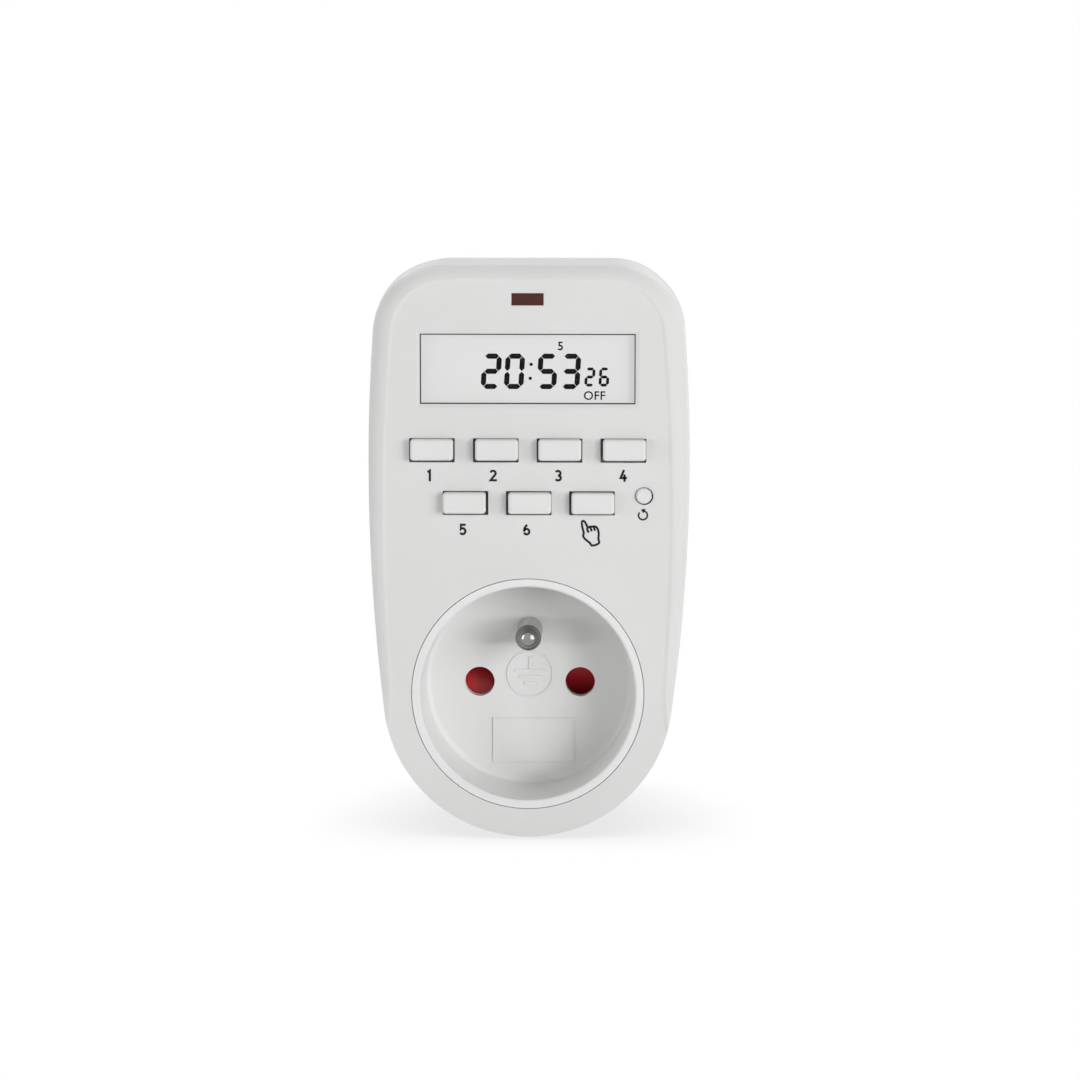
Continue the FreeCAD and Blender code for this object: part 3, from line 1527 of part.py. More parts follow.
def make_earth_clip(label, side):
    """A contact strip in the boss's flat. Its leg goes in through a slot to the strap."""
    body = new_body(label)
    seat, thick = CLIP_FLAT, "clip_thickness"
    leg = f"({BACK} + clip_gap)"
    tip = f"(clip_gap - boss_end / 2 - clip_gap + {thick})"
    low = f"({BOSS_INNER_RADIUS} - strap_margin - clip_lap)"
    if side > 0:
        low = "(earth_offset + strap_rise)"
    outline = [
        (leg, low),
        (f"{leg} + {thick}", low),
        (f"{leg} + {thick}", f"{seat} + 0"),
        (f"{leg} + 3", f"{seat} + 0"),
        (f"{leg} + 5", f"{seat} + {thick} / 2"),
        (f"{tip} - 3", f"{seat} + {thick} / 2"),
        (tip, f"{seat} + 0"),
        (tip, f"{seat} + {thick}"),
        (f"{tip} - 2.8", f"{seat} + {thick} * 1.5"),
        (f"{leg} + 4.8", f"{seat} + {thick} * 1.5"),
        (f"{leg} + 2.8", f"{seat} + {thick}"),
        (leg, f"{seat} + {thick}"),
    ]
    if side < 0:
        outline = [(y, f"0 - ({z})") for y, z in outline]
    sketch = new_sketch(body, "YZ_Plane")
    draw_outline(sketch, outline)
    mid_pad(body, sketch, "clip_width")


def make_leads():
    """The insulated wires between the plug, the power board and the live contact."""
    pin, root, strip = value("contact_pitch") / 2, value(PIN_ROOT), value("contact_strip")
    contact, board, radius = value(TOWER_END), value(POWER_BOARD), value("lead_radius")
    middle = value(f"({CARRIER_BACK} + {BASE_FLANGE}) / 2")
    front = board - value("lead_stand")
    row = value("board_bottom") + radius + value("lead_margin")
    outside = value(CUP_SHELL_RADIUS)
    height, out = value("lead_height"), pin + value("lead_spread")
    for label, side, start in (("line_lead", 1, root), ("neutral_lead", -1, root - strip)):
        points = [
            (side * pin, start - radius, -value("solder_length")),
            (side * pin, start - radius, height),
            (side * out, middle, height),
            (side * out, middle, outside),
            (side * out, front, (outside + row) / 2),
            (side * out, front, row),
            (side * out, board, row),
        ]
        make_wire(label, [Vector(*point) for point in points], radius)
    tab = value("tower_width / 2 + contact_tab") - radius
    start, across = pin - radius, pin - value("load_lead_shift")
    points = [
        (start, contact, tab),
        (start, middle, tab),
        (across, middle, height + tab / 2),
        (across, middle, outside),
        (across, front, (outside + row) / 2),
        (across, front, row),
        (across, board, row),
    ]
    make_wire("load_lead", [Vector(*point) for point in points], radius)


make_front_cover()
make_rear_cover()
make_display_window()
make_lcd_glass()
make_lcd_frame()
make_zebra_strips()
make_indicator_lens()
make_indicator_led()
for key in KEYS:
    make_key(*key)
make_reset_button()
make_rubber_keypad()
make_board("display_board", DISPLAY_BOARD)
make_board("power_board", POWER_BOARD)
make_board_screws()
make_housing_screws()
make_controller_chip()
make_clock_crystal()
make_backup_battery()
make_board_link()
make_board_block(
    "relay", "relay_width", "relay_height", "relay_depth", "0", "relay_row", "relay_rounding"
)
make_board_block(
    "film_capacitor",
    "film_width",
    "film_height",
    "film_depth",
    "film_place",
    "film_row",
    "relay_rounding",
)
make_smoothing_capacitor()
make_varistor()
make_rectifier_diodes()
make_socket_cup()
make_earth_pin()
make_safety_shutter()
make_shutter_spring()
make_contact_carrier()
make_line_contact()
make_neutral_contact()
make_plug_base()
make_plug_pin("line_pin", "")
make_plug_pin("neutral_pin", "0 - ")
make_earth_strap()
make_earth_receptacle()
make_earth_clip("upper_earth_clip", 1)
make_earth_clip("lower_earth_clip", -1)
make_leads()

doc.recompute()
for thing in doc.Objects:
    if "Invalid" in thing.State or "Error" in thing.State:
        raise RuntimeError(f"{thing.Label} failed: {thing.State}")
for part in PARTS:
    if part.Shape.isNull() or not part.Shape.isValid():
        raise RuntimeError(f"{part.Label} has no valid shape")

os.makedirs("parts", exist_ok=True)
for part in PARTS:
    part.Shape.exportStep(os.path.join("parts", f"{part.Label}.step"))
    print(part.Label, len(part.Shape.Solids), round(part.Shape.Volume, 1))
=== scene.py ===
import math

import bmesh
import bpy
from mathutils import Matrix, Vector


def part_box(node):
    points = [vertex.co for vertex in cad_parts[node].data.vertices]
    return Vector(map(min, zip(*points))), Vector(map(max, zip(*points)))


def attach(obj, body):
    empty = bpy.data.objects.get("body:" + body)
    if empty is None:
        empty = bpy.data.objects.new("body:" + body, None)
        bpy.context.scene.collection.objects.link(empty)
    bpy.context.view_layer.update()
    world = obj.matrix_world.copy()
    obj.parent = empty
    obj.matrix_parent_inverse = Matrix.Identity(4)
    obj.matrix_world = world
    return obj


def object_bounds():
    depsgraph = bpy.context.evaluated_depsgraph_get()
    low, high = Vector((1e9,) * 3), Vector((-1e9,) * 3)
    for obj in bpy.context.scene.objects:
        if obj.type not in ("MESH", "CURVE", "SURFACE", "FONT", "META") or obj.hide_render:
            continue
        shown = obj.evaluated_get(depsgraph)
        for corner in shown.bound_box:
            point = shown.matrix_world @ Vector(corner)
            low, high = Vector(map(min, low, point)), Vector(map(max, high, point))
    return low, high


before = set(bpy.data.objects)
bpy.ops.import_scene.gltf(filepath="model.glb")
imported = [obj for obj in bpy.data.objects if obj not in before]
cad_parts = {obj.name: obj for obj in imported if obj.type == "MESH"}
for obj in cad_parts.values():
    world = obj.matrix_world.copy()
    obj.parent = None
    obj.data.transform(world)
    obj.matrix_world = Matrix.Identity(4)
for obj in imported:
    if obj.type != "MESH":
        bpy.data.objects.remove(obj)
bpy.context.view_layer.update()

bl_info = {
    "name": "Plug-in timer switch",
    "version": (1, 0, 0),
    "blender": (4, 5, 0),
    "location": "3D View > Sidebar > Timer",
    "description": "Finishes, printed marks, display and studio for the plug-in timer switch",
    "category": "Object",
}

MM = 0.001

# levels and sizes that the solids give, in millimetres
FACE_RECESS = 0.15
FACE_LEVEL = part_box("front_cover")[0].y / MM + FACE_RECESS
GLASS_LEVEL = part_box("lcd_glass")[0].y / MM
GROUND_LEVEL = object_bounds()[0][2] / MM
WELL_LEVEL = -38.85
WINDOW_SIZE = (39.4, 12.7)
WINDOW_GAP = 0.12

# how far prints and raised marks reach into what they lie on
PRINT_SINK = 0.01
RAISED_SINK = 0.05

# the dark seal round the window, partly a real seal and partly painted shade of the gap round the
# window:
# its lap on the window's edge, its room to the face, and how far its front stands before the
# window's front and its back behind it
SEAL_LAP = 0.08
SEAL_ROOM = 0.004
SEAL_RISE = 0.02
SEAL_DEPTH = 0.5

# middle of each printed number under its key: across, up
KEY_MARK_PLACES = {
    "number_1": (-18.02, 40.75),
    "number_2": (-6.36, 40.75),
    "number_3": (5.65, 40.75),
    "number_4": (17.58, 40.75),
    "number_5": (-11.96, 30.73),
    "number_6": (-0.2, 30.73),
}
NUMBER_STROKE_SHARE = 0.19

# outline of the pointing hand, and the lines between its folded fingers
HAND_OUTLINE = [
    (10.25, 32.45), (9.99, 32.2), (10.05, 31.31), (10.4, 30.08), (10.2, 29.62), (10.5, 29.08),
    (11.58, 28.23), (11.76, 27.78), (12.65, 27.92), (13.27, 28.31), (13.04, 29.08), (13.14, 30.08),
    (12.93, 30.93), (12.62, 31.33), (12.16, 31.37), (11.93, 31.33), (11.55, 31.33), (11.08, 31.16),
    (10.58, 32.2),
]
HAND_FOLDS = [
    [(11.09, 31.16), (10.97, 30.85), (11.25, 30.2)],
    [(11.55, 31.24), (11.83, 30.46)],
    [(12.16, 31.31), (12.44, 30.56)],
]
HAND_ROUNDING = 0.28

# circular arrow at the reset key, from one angle in degrees to another
ARROW_MIDDLE = (21.26, 33.45)
ARROW_RADIUS = 0.82
ARROW_LINE = 0.3
ARROW_TURNS = (70.0, -220.0)
ARROW_HEAD_HALF = 0.5
ARROW_HEAD_LENGTH = 0.72

# lower left corner of each display digit, and the digit shown there
LARGE_DIGITS = [(-8.72, 56.6, "2"), (-4.45, 56.6, "0"), (1.6, 56.6, "5"), (5.86, 56.6, "3")]
SMALL_DIGITS = [(10.37, 57.09, "2"), (12.99, 57.09, "6")]
COLON_DOTS = [(0.61, 61.16), (0.45, 58.58)]
COLON_RADIUS = 0.31

# width of a digit, and stroke and gap of its segments
LARGE_SEGMENTS = (3.61, 0.95, 0.06)
SMALL_SEGMENTS = (1.9, 0.54, 0.035)

# segments that are lit in each digit, from a at the top round to f, with g in the middle
SEGMENTS_LIT = {
    "0": "abcdef",
    "2": "abged",
    "3": "abgcd",
    "5": "afgcd",
    "6": "afgecd",
}

# the display's small characters: text, height, added weight, and middle across and up
DISPLAY_TEXTS = {
    "display_state": ("OFF", 1.62, 0.012, (12.29, 55.43)),
    "display_day": ("5", 1.6, 0.02, (6.0, 64.55)),
}

# earth sign on the well's floor; each bar has half its length and how far up it lies
EARTH_RING_MIDDLE = (0.02, 1.5)
EARTH_RING_RADII = (4.15, 4.45)
EARTH_STEM = [(0.04, 4.85), (0.04, 2.45)]
EARTH_STEM_WIDTH = 0.5
EARTH_BARS = ((2.95, 2.1), (2.2, 0.95), (1.2, -0.2))
EARTH_BAR_WIDTH = 0.6

# bare raised rectangle on the well's floor, below the earth sign
PLATE_CORNERS = [(-6.9, -15.4), (8.3, -15.4), (8.3, -7.0), (-6.9, -7.0)]
PLATE_LINE = 0.3
RAISED_SOFTNESS = 0.1

# the camera's lens and film in millimetres, and the point that camera and lamps look at, in metres
FOCAL_LENGTH = 126.47
FILM_WIDTH = 36.0
AIM_POINT = Vector((2.288, -54.0, 28.83)) * MM

# the floor's half width in millimetres, the two tones that its paper wanders between, and the
# reach in metres and the tone of the shadow where the object stands
FLOOR_HALF = 4000.0
PAPER_TONES = ((0.78, 0.78, 0.78, 1.0), (0.82, 0.82, 0.82, 1.0))
SHADOW_REACH = 0.024
SHADOW_TONE = 0.80

# how far the lamps stand from the point that they face, in metres
LAMP_DISTANCE = 0.9

# each lamp: angles to the side and up in degrees, width and height in metres, the setting that
# holds its power, whether it shows in what is glossy, and whether it lights the pins alone
LAMPS = {
    "right_lamp": (45.0, 5.0, 0.6, 0.6, "right_lamp", False, False),
    "left_lamp": (-50.0, 3.0, 0.4, 0.4, "left_lamp", False, False),
    "side_lamp": (-75.0, 3.0, 0.4, 0.4, "side_lamp", False, False),
    "low_right_lamp": (38.0, 1.0, 0.22, 0.1, "low_lamps", False, False),
    "low_left_lamp": (-44.0, 1.0, 0.18, 0.1, "low_lamps", False, False),
    "right_strip": (60.0, 0.0, 0.90, 1.6, "strip_lamps", True, True),
    "left_strip": (-77.0, 0.0, 0.60, 1.6, "strip_lamps", True, True),
    "rear_right_lamp": (140.0, 50.0, 0.4, 0.4, "rear_lamps", True, False),
    "rear_left_lamp": (-140.0, 50.0, 0.4, 0.4, "rear_lamps", True, False),
}

# the pins of one finish, which the strip lamps light
PLATED_PINS = ("earth_pin", "line_pin", "neutral_pin")


# settings

class TimerColours(bpy.types.PropertyGroup):
    """Colours of the pieces that show"""
    case: bpy.props.FloatVectorProperty(
        name="Case", description="Colour of the two shells", subtype="COLOR",
        default=(0.700, 0.700, 0.694), min=0.0, max=1.0)
    keys: bpy.props.FloatVectorProperty(
        name="Keys", description="Colour of the seven keys and the reset key", subtype="COLOR",
        default=(0.735, 0.735, 0.730), min=0.0, max=1.0)
    # the socket is lighter than the case as painted light, which lifts the shade inside its well
    socket: bpy.props.FloatVectorProperty(
        name="Socket", description="Colour of the socket's round insert", subtype="COLOR",
        default=(0.775, 0.775, 0.770), min=0.0, max=1.0)
    plug: bpy.props.FloatVectorProperty(
        name="Plug", description="Colour of the plug's body at the back", subtype="COLOR",
        default=(0.690, 0.690, 0.680), min=0.0, max=1.0)
    ink: bpy.props.FloatVectorProperty(
        name="Ink", description="Colour of the printed marks", subtype="COLOR",
        default=(0.016, 0.016, 0.018), min=0.0, max=1.0)
    # the display's field is kept dark because its glow adds painted light
    display: bpy.props.FloatVectorProperty(
        name="Display", description="Colour of the display's field", subtype="COLOR",
        default=(0.300, 0.302, 0.298), min=0.0, max=1.0)
    segments: bpy.props.FloatVectorProperty(
        name="Segments", description="Colour of the display's lit segments", subtype="COLOR",
        default=(0.004, 0.004, 0.006), min=0.0, max=1.0)
    lens: bpy.props.FloatVectorProperty(
        name="Lens", description="Colour of the indicator's lens", subtype="COLOR",
        default=(0.074, 0.022, 0.019), min=0.0, max=1.0)
    shutter: bpy.props.FloatVectorProperty(
        name="Shutter", description="Colour of the safety shutter", subtype="COLOR",
        default=(0.700, 0.026, 0.036), min=0.0, max=1.0)
    plating: bpy.props.FloatVectorProperty(
        name="Plating", description="Colour of the plated pins", subtype="COLOR",
        default=(0.270, 0.267, 0.262), min=0.0, max=1.0)


class TimerSizes(bpy.types.PropertyGroup):
    """Sizes of the marks and the display's digits"""
    number_height: bpy.props.FloatProperty(
        name="Number height", description="Height of the numbers under the keys",
        default=2.2 * MM, min=0.5 * MM, unit="LENGTH", precision=5)
    print_depth: bpy.props.FloatProperty(
        name="Print thickness", description="How far the printed marks stand off the face",
        default=0.03 * MM, min=0.005 * MM, unit="LENGTH", precision=6)
    hand_line: bpy.props.FloatProperty(
        name="Hand line", description="Width of the lines of the pointing hand",
        default=0.4 * MM, min=0.05 * MM, unit="LENGTH", precision=5)
    large_digit_height: bpy.props.FloatProperty(
        name="Large digit height", description="Height of the hour and minute digits",
        default=6.54 * MM, min=1.0 * MM, unit="LENGTH", precision=5)
    small_digit_height: bpy.props.FloatProperty(
        name="Small digit height", description="Height of the second digits",
        default=3.51 * MM, min=0.5 * MM, unit="LENGTH", precision=5)
    segment_depth: bpy.props.FloatProperty(
        name="Segment thickness", description="How far the segments stand off the glass",
        default=0.02 * MM, min=0.005 * MM, unit="LENGTH", precision=6)
    digit_slant: bpy.props.FloatProperty(
        name="Digit slant", description="How far the display's digits lean to the right",
        default=math.radians(3.4), min=0.0, max=0.3, subtype="ANGLE")
    raised_height: bpy.props.FloatProperty(
        name="Raised marks", description="Height of the raised marks on the well's floor",
        default=0.26 * MM, min=0.02 * MM, unit="LENGTH", precision=5)


class TimerStudio(bpy.types.PropertyGroup):
    """Light and camera"""
    surround: bpy.props.FloatProperty(
        name="Surround", description="Strength of the even light from all round",
        default=0.255, min=0.0, max=2.0, subtype="FACTOR")
    right_lamp: bpy.props.FloatProperty(
        name="Right lamp", description="Power of the main lamp, in front at the right",
        default=6.15, min=0.0, unit="POWER")
    left_lamp: bpy.props.FloatProperty(
        name="Left lamp", description="Power of the faint lamp in front at the left",
        default=0.3, min=0.0, unit="POWER")
    side_lamp: bpy.props.FloatProperty(
        name="Side lamp", description="Power of the lamp at the left side",
        default=2.2, min=0.0, unit="POWER")
    low_lamps: bpy.props.FloatProperty(
        name="Low lamps", description="Power of each of the two small low lamps in front",
        default=0.9, min=0.0, unit="POWER")
    strip_lamps: bpy.props.FloatProperty(
        name="Strip lamps", description="Power of each of the two lamps that light the pins alone",
        default=11.0, min=0.0, unit="POWER")
    rear_lamps: bpy.props.FloatProperty(
        name="Rear lamps", description="Power of each of the two lamps behind",
        default=2.3, min=0.0, unit="POWER")
    distance: bpy.props.FloatProperty(
        name="Camera distance", description="From the camera to the point it looks at",
        default=0.7, min=0.2, unit="LENGTH")
    height_angle: bpy.props.FloatProperty(
        name="Camera height angle", description="How far above level the camera stands",
        default=math.radians(6.9), subtype="ANGLE")
    side_angle: bpy.props.FloatProperty(
        name="Camera side angle", description="How far to the right the camera stands",
        default=math.radians(1.5), subtype="ANGLE")


# finishes

# painted shade in narrow gaps: its colour deep in a gap, and how steeply it gets there
GAP_SHADE_COLOUR = (0.012, 0.012, 0.012, 1.0)
GAP_SHADE_FALL = 1.6


def add_node(tree, kind, values=None, **settings):
    """A node with its settings, and with plain values on its inputs."""
    made = tree.nodes.new(kind)
    for key, setting in settings.items():
        setattr(made, key, setting)
    for key, level in (values or {}).items():
        made.inputs[key].default_value = level
    return made


def new_finish(name, **sockets):
    """A material with one Principled shader whose even values are set on its own sockets."""
    material = bpy.data.materials.new(name)
    material.use_nodes = True
    tree = material.node_tree
    tree.nodes.clear()
    shader = add_node(tree, "ShaderNodeBsdfPrincipled", sockets)
    output = add_node(tree, "ShaderNodeOutputMaterial")
    tree.links.new(shader.outputs["BSDF"], output.inputs["Surface"])
    place = add_node(tree, "ShaderNodeTexCoord")
    return material, tree, shader, place.outputs["Object"]


def speckle(tree, place, grain, detail=2.0, stretch=None):
    """Noise whose features measure about grain metres, drawn out along an axis by stretch."""
    if stretch:
        spread = add_node(tree, "ShaderNodeMapping", {"Scale": stretch})
        tree.links.new(place, spread.inputs["Vector"])
        place = spread.outputs["Vector"]
    noise = add_node(tree, "ShaderNodeTexNoise", {"Scale": 1.0 / grain, "Detail": detail})
    tree.links.new(place, noise.inputs["Vector"])
    return noise.outputs["Fac"]


def vary_colour(tree, shader, level, colour, low, high):
    """Base colour that wanders between low and high times the given colour."""
    mix = add_node(tree, "ShaderNodeMix", data_type="RGBA")
    mix.inputs[6].default_value = [min(1.0, part * low) for part in colour] + [1.0]
    mix.inputs[7].default_value = [min(1.0, part * high) for part in colour] + [1.0]
    tree.links.new(level, mix.inputs[0])
    tree.links.new(mix.outputs[2], shader.inputs["Base Color"])


def vary_value(tree, level, low, high, target):
    """Value that wanders between low and high with the level."""
    spread = add_node(tree, "ShaderNodeMapRange", {
        "From Min": 0.25, "From Max": 0.75, "To Min": low, "To Max": high})
    tree.links.new(level, spread.inputs["Value"])
    tree.links.new(spread.outputs["Result"], target)


def emboss(tree, shader, level, depth, strength=1.0):
    """Relief of the given depth in metres that follows the level."""
    bump = add_node(tree, "ShaderNodeBump", {"Distance": depth, "Strength": strength})
    tree.links.new(level, bump.inputs["Height"])
    tree.links.new(bump.outputs["Normal"], shader.inputs["Normal"])


def moulded(name, colour, roughness, grain=0.00022, depth=0.000006, cloud=0.02, spread=0.035,
            **sockets):
    """Moulded plastic: spark-eroded grain, faint clouding, uneven gloss."""
    material, tree, shader, place = new_finish(name, **sockets)
    fine = speckle(tree, place, grain, 3.0)
    broad = speckle(tree, place, cloud, 3.0)
    vary_colour(tree, shader, broad, colour, 1.0 - spread, 1.0 + spread)
    vary_value(tree, fine, roughness - 0.06, roughness + 0.06, shader.inputs["Roughness"])
    emboss(tree, shader, fine, depth)
    return material


def paint_gap_shade(material, reach):
    """Paints shade into the colour in gaps narrower than reach, where little light gets in."""
    tree = material.node_tree
    shader = next(n for n in tree.nodes if n.type == "BSDF_PRINCIPLED")
    colour = shader.inputs["Base Color"].links[0].from_socket
    closeness = add_node(tree, "ShaderNodeAmbientOcclusion", {"Distance": reach}, samples=8)
    depth = add_node(tree, "ShaderNodeMath", {1: GAP_SHADE_FALL}, operation="POWER")
    tree.links.new(closeness.outputs["AO"], depth.inputs[0])
    mix = add_node(tree, "ShaderNodeMix", data_type="RGBA")
    mix.inputs[6].default_value = GAP_SHADE_COLOUR
    tree.links.new(depth.outputs[0], mix.inputs[0])
    tree.links.new(colour, mix.inputs[7])
    tree.links.new(mix.outputs[2], shader.inputs["Base Color"])


def polished(name, colour, roughness, cloud=0.004, spread=0.08, **sockets):
    """Glossy plastic, lacquer or dipped coating with faint handling marks."""
    material, tree, shader, place = new_finish(name, **sockets)
    broad = speckle(tree, place, cloud, 4.0)
    marks = speckle(tree, place, 0.0006, 5.0, (1.0, 0.15, 1.0))
    vary_colour(tree, shader, broad, colour, 1.0 - spread, 1.0 + spread)
    low = max(0.02, roughness - 0.05)
    vary_value(tree, marks, low, roughness + 0.07, shader.inputs["Roughness"])
    emboss(tree, shader, broad, 0.00002, 0.6)
    return material


def plated(name, colour, roughness, stretch, grain=0.0004, spread=0.06):
    """Drawn or plated metal with fine marks along its length."""
    material, tree, shader, place = new_finish(name, Metallic=1.0)
    marks = speckle(tree, place, grain, 4.0, stretch)
    broad = speckle(tree, place, 0.003, 2.0)
    vary_colour(tree, shader, broad, colour, 1.0 - spread, 1.0 + spread)
    low = max(0.03, roughness - 0.06)
    vary_value(tree, marks, low, roughness + 0.08, shader.inputs["Roughness"])
    emboss(tree, shader, marks, 0.000004)
    return material


def soft_rubber(name, colour):
    """Matt rubber with a little dust."""
    material, tree, shader, place = new_finish(name)
    fine = speckle(tree, place, 0.00015, 4.0)
    dust = speckle(tree, place, 0.003, 5.0)
    vary_colour(tree, shader, dust, colour, 0.9, 1.14)
    vary_value(tree, fine, 0.72, 0.88, shader.inputs["Roughness"])
    emboss(tree, shader, fine, 0.00001)
    return material


def solder_mask(name):
    """Green lacquer over copper runs that show as a paler, raised pattern."""
    material, tree, shader, place = new_finish(name)
    runs = add_node(tree, "ShaderNodeTexBrick", {
        "Scale": 260.0, "Mortar Size": 0.09, "Mortar Smooth": 0.2,
        "Brick Width": 1.7, "Row Height": 0.55,
        "Color1": (0.012, 0.120, 0.040, 1.0), "Color2": (0.016, 0.140, 0.050, 1.0),
        "Mortar": (0.035, 0.235, 0.085, 1.0)}, offset_frequency=3, squash=0.6, squash_frequency=4)
    turned = add_node(tree, "ShaderNodeMapping", {"Rotation": (math.radians(90.0), 0.0, 0.0)})
    tree.links.new(place, turned.inputs["Vector"])
    tree.links.new(turned.outputs["Vector"], runs.inputs["Vector"])
    tree.links.new(runs.outputs["Color"], shader.inputs["Base Color"])
    weave = speckle(tree, place, 0.0005, 3.0)
    vary_value(tree, weave, 0.22, 0.36, shader.inputs["Roughness"])
    emboss(tree, shader, runs.outputs["Fac"], 0.00003)
    return material


def clear_window(name):
    """Thin plastic that its low alpha makes clear, with faint wiping marks."""
    material, tree, shader, place = new_finish(name, Alpha=0.05, IOR=1.49)
    shader.inputs["Base Color"].default_value = (0.05, 0.05, 0.05, 1.0)
    marks = speckle(tree, place, 0.0012, 5.0, (1.0, 1.0, 0.2))
    vary_value(tree, marks, 0.03, 0.09, shader.inputs["Roughness"])
    emboss(tree, shader, speckle(tree, place, 0.01, 1.0), 0.00001, 0.4)
    return material


def display_cell(name, colour, painted_glow):
    """Grey display cell: its even field glows softly as painted light, with a very faint cloudy
    tone.
    """
    material, tree, shader, place = new_finish(name, **{
        "Specular IOR Level": 0.2,
        "Emission Color": (1.0, 1.0, 0.995, 1.0), "Emission Strength": painted_glow})
    cloud = speckle(tree, place, 0.009, 2.0)
    rub = speckle(tree, place, 0.00012, 2.0)
    vary_colour(tree, shader, cloud, colour, 0.975, 1.02)
    vary_value(tree, rub, 0.32, 0.44, shader.inputs["Roughness"])
    emboss(tree, shader, rub, 0.000002)
    return material


def printed(name, colour, **sockets):
    """Pad-printed ink, a little uneven in gloss and cover."""
    material, tree, shader, place = new_finish(name, **sockets)
    cover = speckle(tree, place, 0.00025, 4.0)
    vary_colour(tree, shader, cover, colour, 0.75, 1.6)
    vary_value(tree, cover, 0.42, 0.6, shader.inputs["Roughness"])
    emboss(tree, shader, cover, 0.000003)
    return material


def dress(nodes, material):
    """Gives these solids of the frame one finish."""
    for name in nodes:
        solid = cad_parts.get(name)
        if solid is None:
            raise RuntimeError("there is no solid named " + name)
        if not solid.material_slots:
            raise RuntimeError(name + " has no material slot")
        for place in solid.material_slots:
            place.material = material


# meshes

# points closer than this are one, in millimetres; the least cosine that a mitre divides by; the
# share of a side that a rounded corner may take
WELD_DISTANCE = 0.0005
MITRE_LIMIT = 0.45
CORNER_SHARE = 0.45


def new_piece(name, bm, body, material, soften=0.0):
    """One object in metres from a mesh drawn in millimetres, riding on a body of the frame."""
    bmesh.ops.remove_doubles(bm, verts=bm.verts, dist=WELD_DISTANCE)
    bmesh.ops.recalc_face_normals(bm, faces=bm.faces)
    bmesh.ops.scale(bm, vec=(MM, MM, MM), verts=bm.verts)
    mesh = bpy.data.meshes.new(name)
    bm.to_mesh(mesh)
    bm.free()
    piece = bpy.data.objects.new(name, mesh)
    bpy.context.scene.collection.objects.link(piece)
    mesh.materials.append(material)
    if soften:
        edge = piece.modifiers.new("soft_edge", "BEVEL")
        edge.width = soften * MM
        edge.segments = 2
        edge.limit_method = "ANGLE"
        edge.angle_limit = math.radians(40.0)
    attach(piece, body)
    return piece


def add_prism(bm, outline, near, far):
    """Closed prism over an outline given as (across, up), between two levels of depth."""
    front = [bm.verts.new((x, near, z)) for x, z in outline]
    back = [bm.verts.new((x, far, z)) for x, z in outline]
    bm.faces.new(front)
    bm.faces.new(list(reversed(back)))
    count = len(outline)
    for i in range(count):
        j = (i + 1) % count
        bm.faces.new((front[i], back[i], back[j], front[j]))


def add_band(bm, inner, outer, near, far):
    """Closed band between two outlines that have the same number of points."""
    count = len(inner)
    rows = []
    for outline, level in ((outer, near), (inner, near), (inner, far), (outer, far)):
        rows.append([bm.verts.new((x, level, z)) for x, z in outline])
    for i in range(count):
        j = (i + 1) % count
        for a, b in ((0, 1), (1, 2), (2, 3), (3, 0)):
            bm.faces.new((rows[a][i], rows[b][i], rows[b][j], rows[a][j]))


def circle_points(across, up, radius, count):
    """Even points on a circle."""
    turns = [2.0 * math.pi * i / count for i in range(count)]
    return [(across + radius * math.cos(t), up + radius * math.sin(t)) for t in turns]


def offset_line(points, distance, closed):
    """The line moved sideways by distance, mitred at its corners."""
    count = len(points)
    moved = []
    for i, point in enumerate(points):
        here = Vector(point)
        before = Vector(points[i - 1]) if closed or i > 0 else None
        after = Vector(points[(i + 1) % count]) if closed or i < count - 1 else None
        if before is None:
            before = here - (after - here)
        if after is None:
            after = here + (here - before)
        one = (here - before).normalized()
        two = (after - here).normalized()
        bisector = one + two
        if bisector.length < 1e-6:
            bisector = Vector(one)
        bisector.normalize()
        side = Vector((-bisector.y, bisector.x))
        reach = distance / max(MITRE_LIMIT, side.dot(Vector((-one.y, one.x))))
        moved.append(tuple(here + side * reach))
    return moved


def add_line(bm, points, width, near, far, closed=False):
    """Flat line of even width along the points."""
    left = offset_line(points, width / 2.0, closed)
    right = offset_line(points, -width / 2.0, closed)
    if closed:
        add_band(bm, left, right, near, far)
        return
    count = len(points)
    for i in range(count - 1):
        add_prism(bm, [left[i], left[i + 1], right[i + 1], right[i]], near, far)


def rounded_points(points, radius, closed=True, steps=4):
    """The points with each corner replaced by a short arc-like run."""
    count = len(points)
    run = []
    for i, point in enumerate(points):
        if not closed and i in (0, count - 1):
            run.append(point)
            continue
        here = Vector(point)
        back = Vector(points[i - 1]) - here
        ahead = Vector(points[(i + 1) % count]) - here
        cut = min(radius, back.length * CORNER_SHARE, ahead.length * CORNER_SHARE)
        start = here + back.normalized() * cut
        end = here + ahead.normalized() * cut
        for s in range(steps + 1):
            t = s / steps
            run.append(tuple(start * (1 - t) ** 2 + here * 2 * t * (1 - t) + end * t ** 2))
    return run


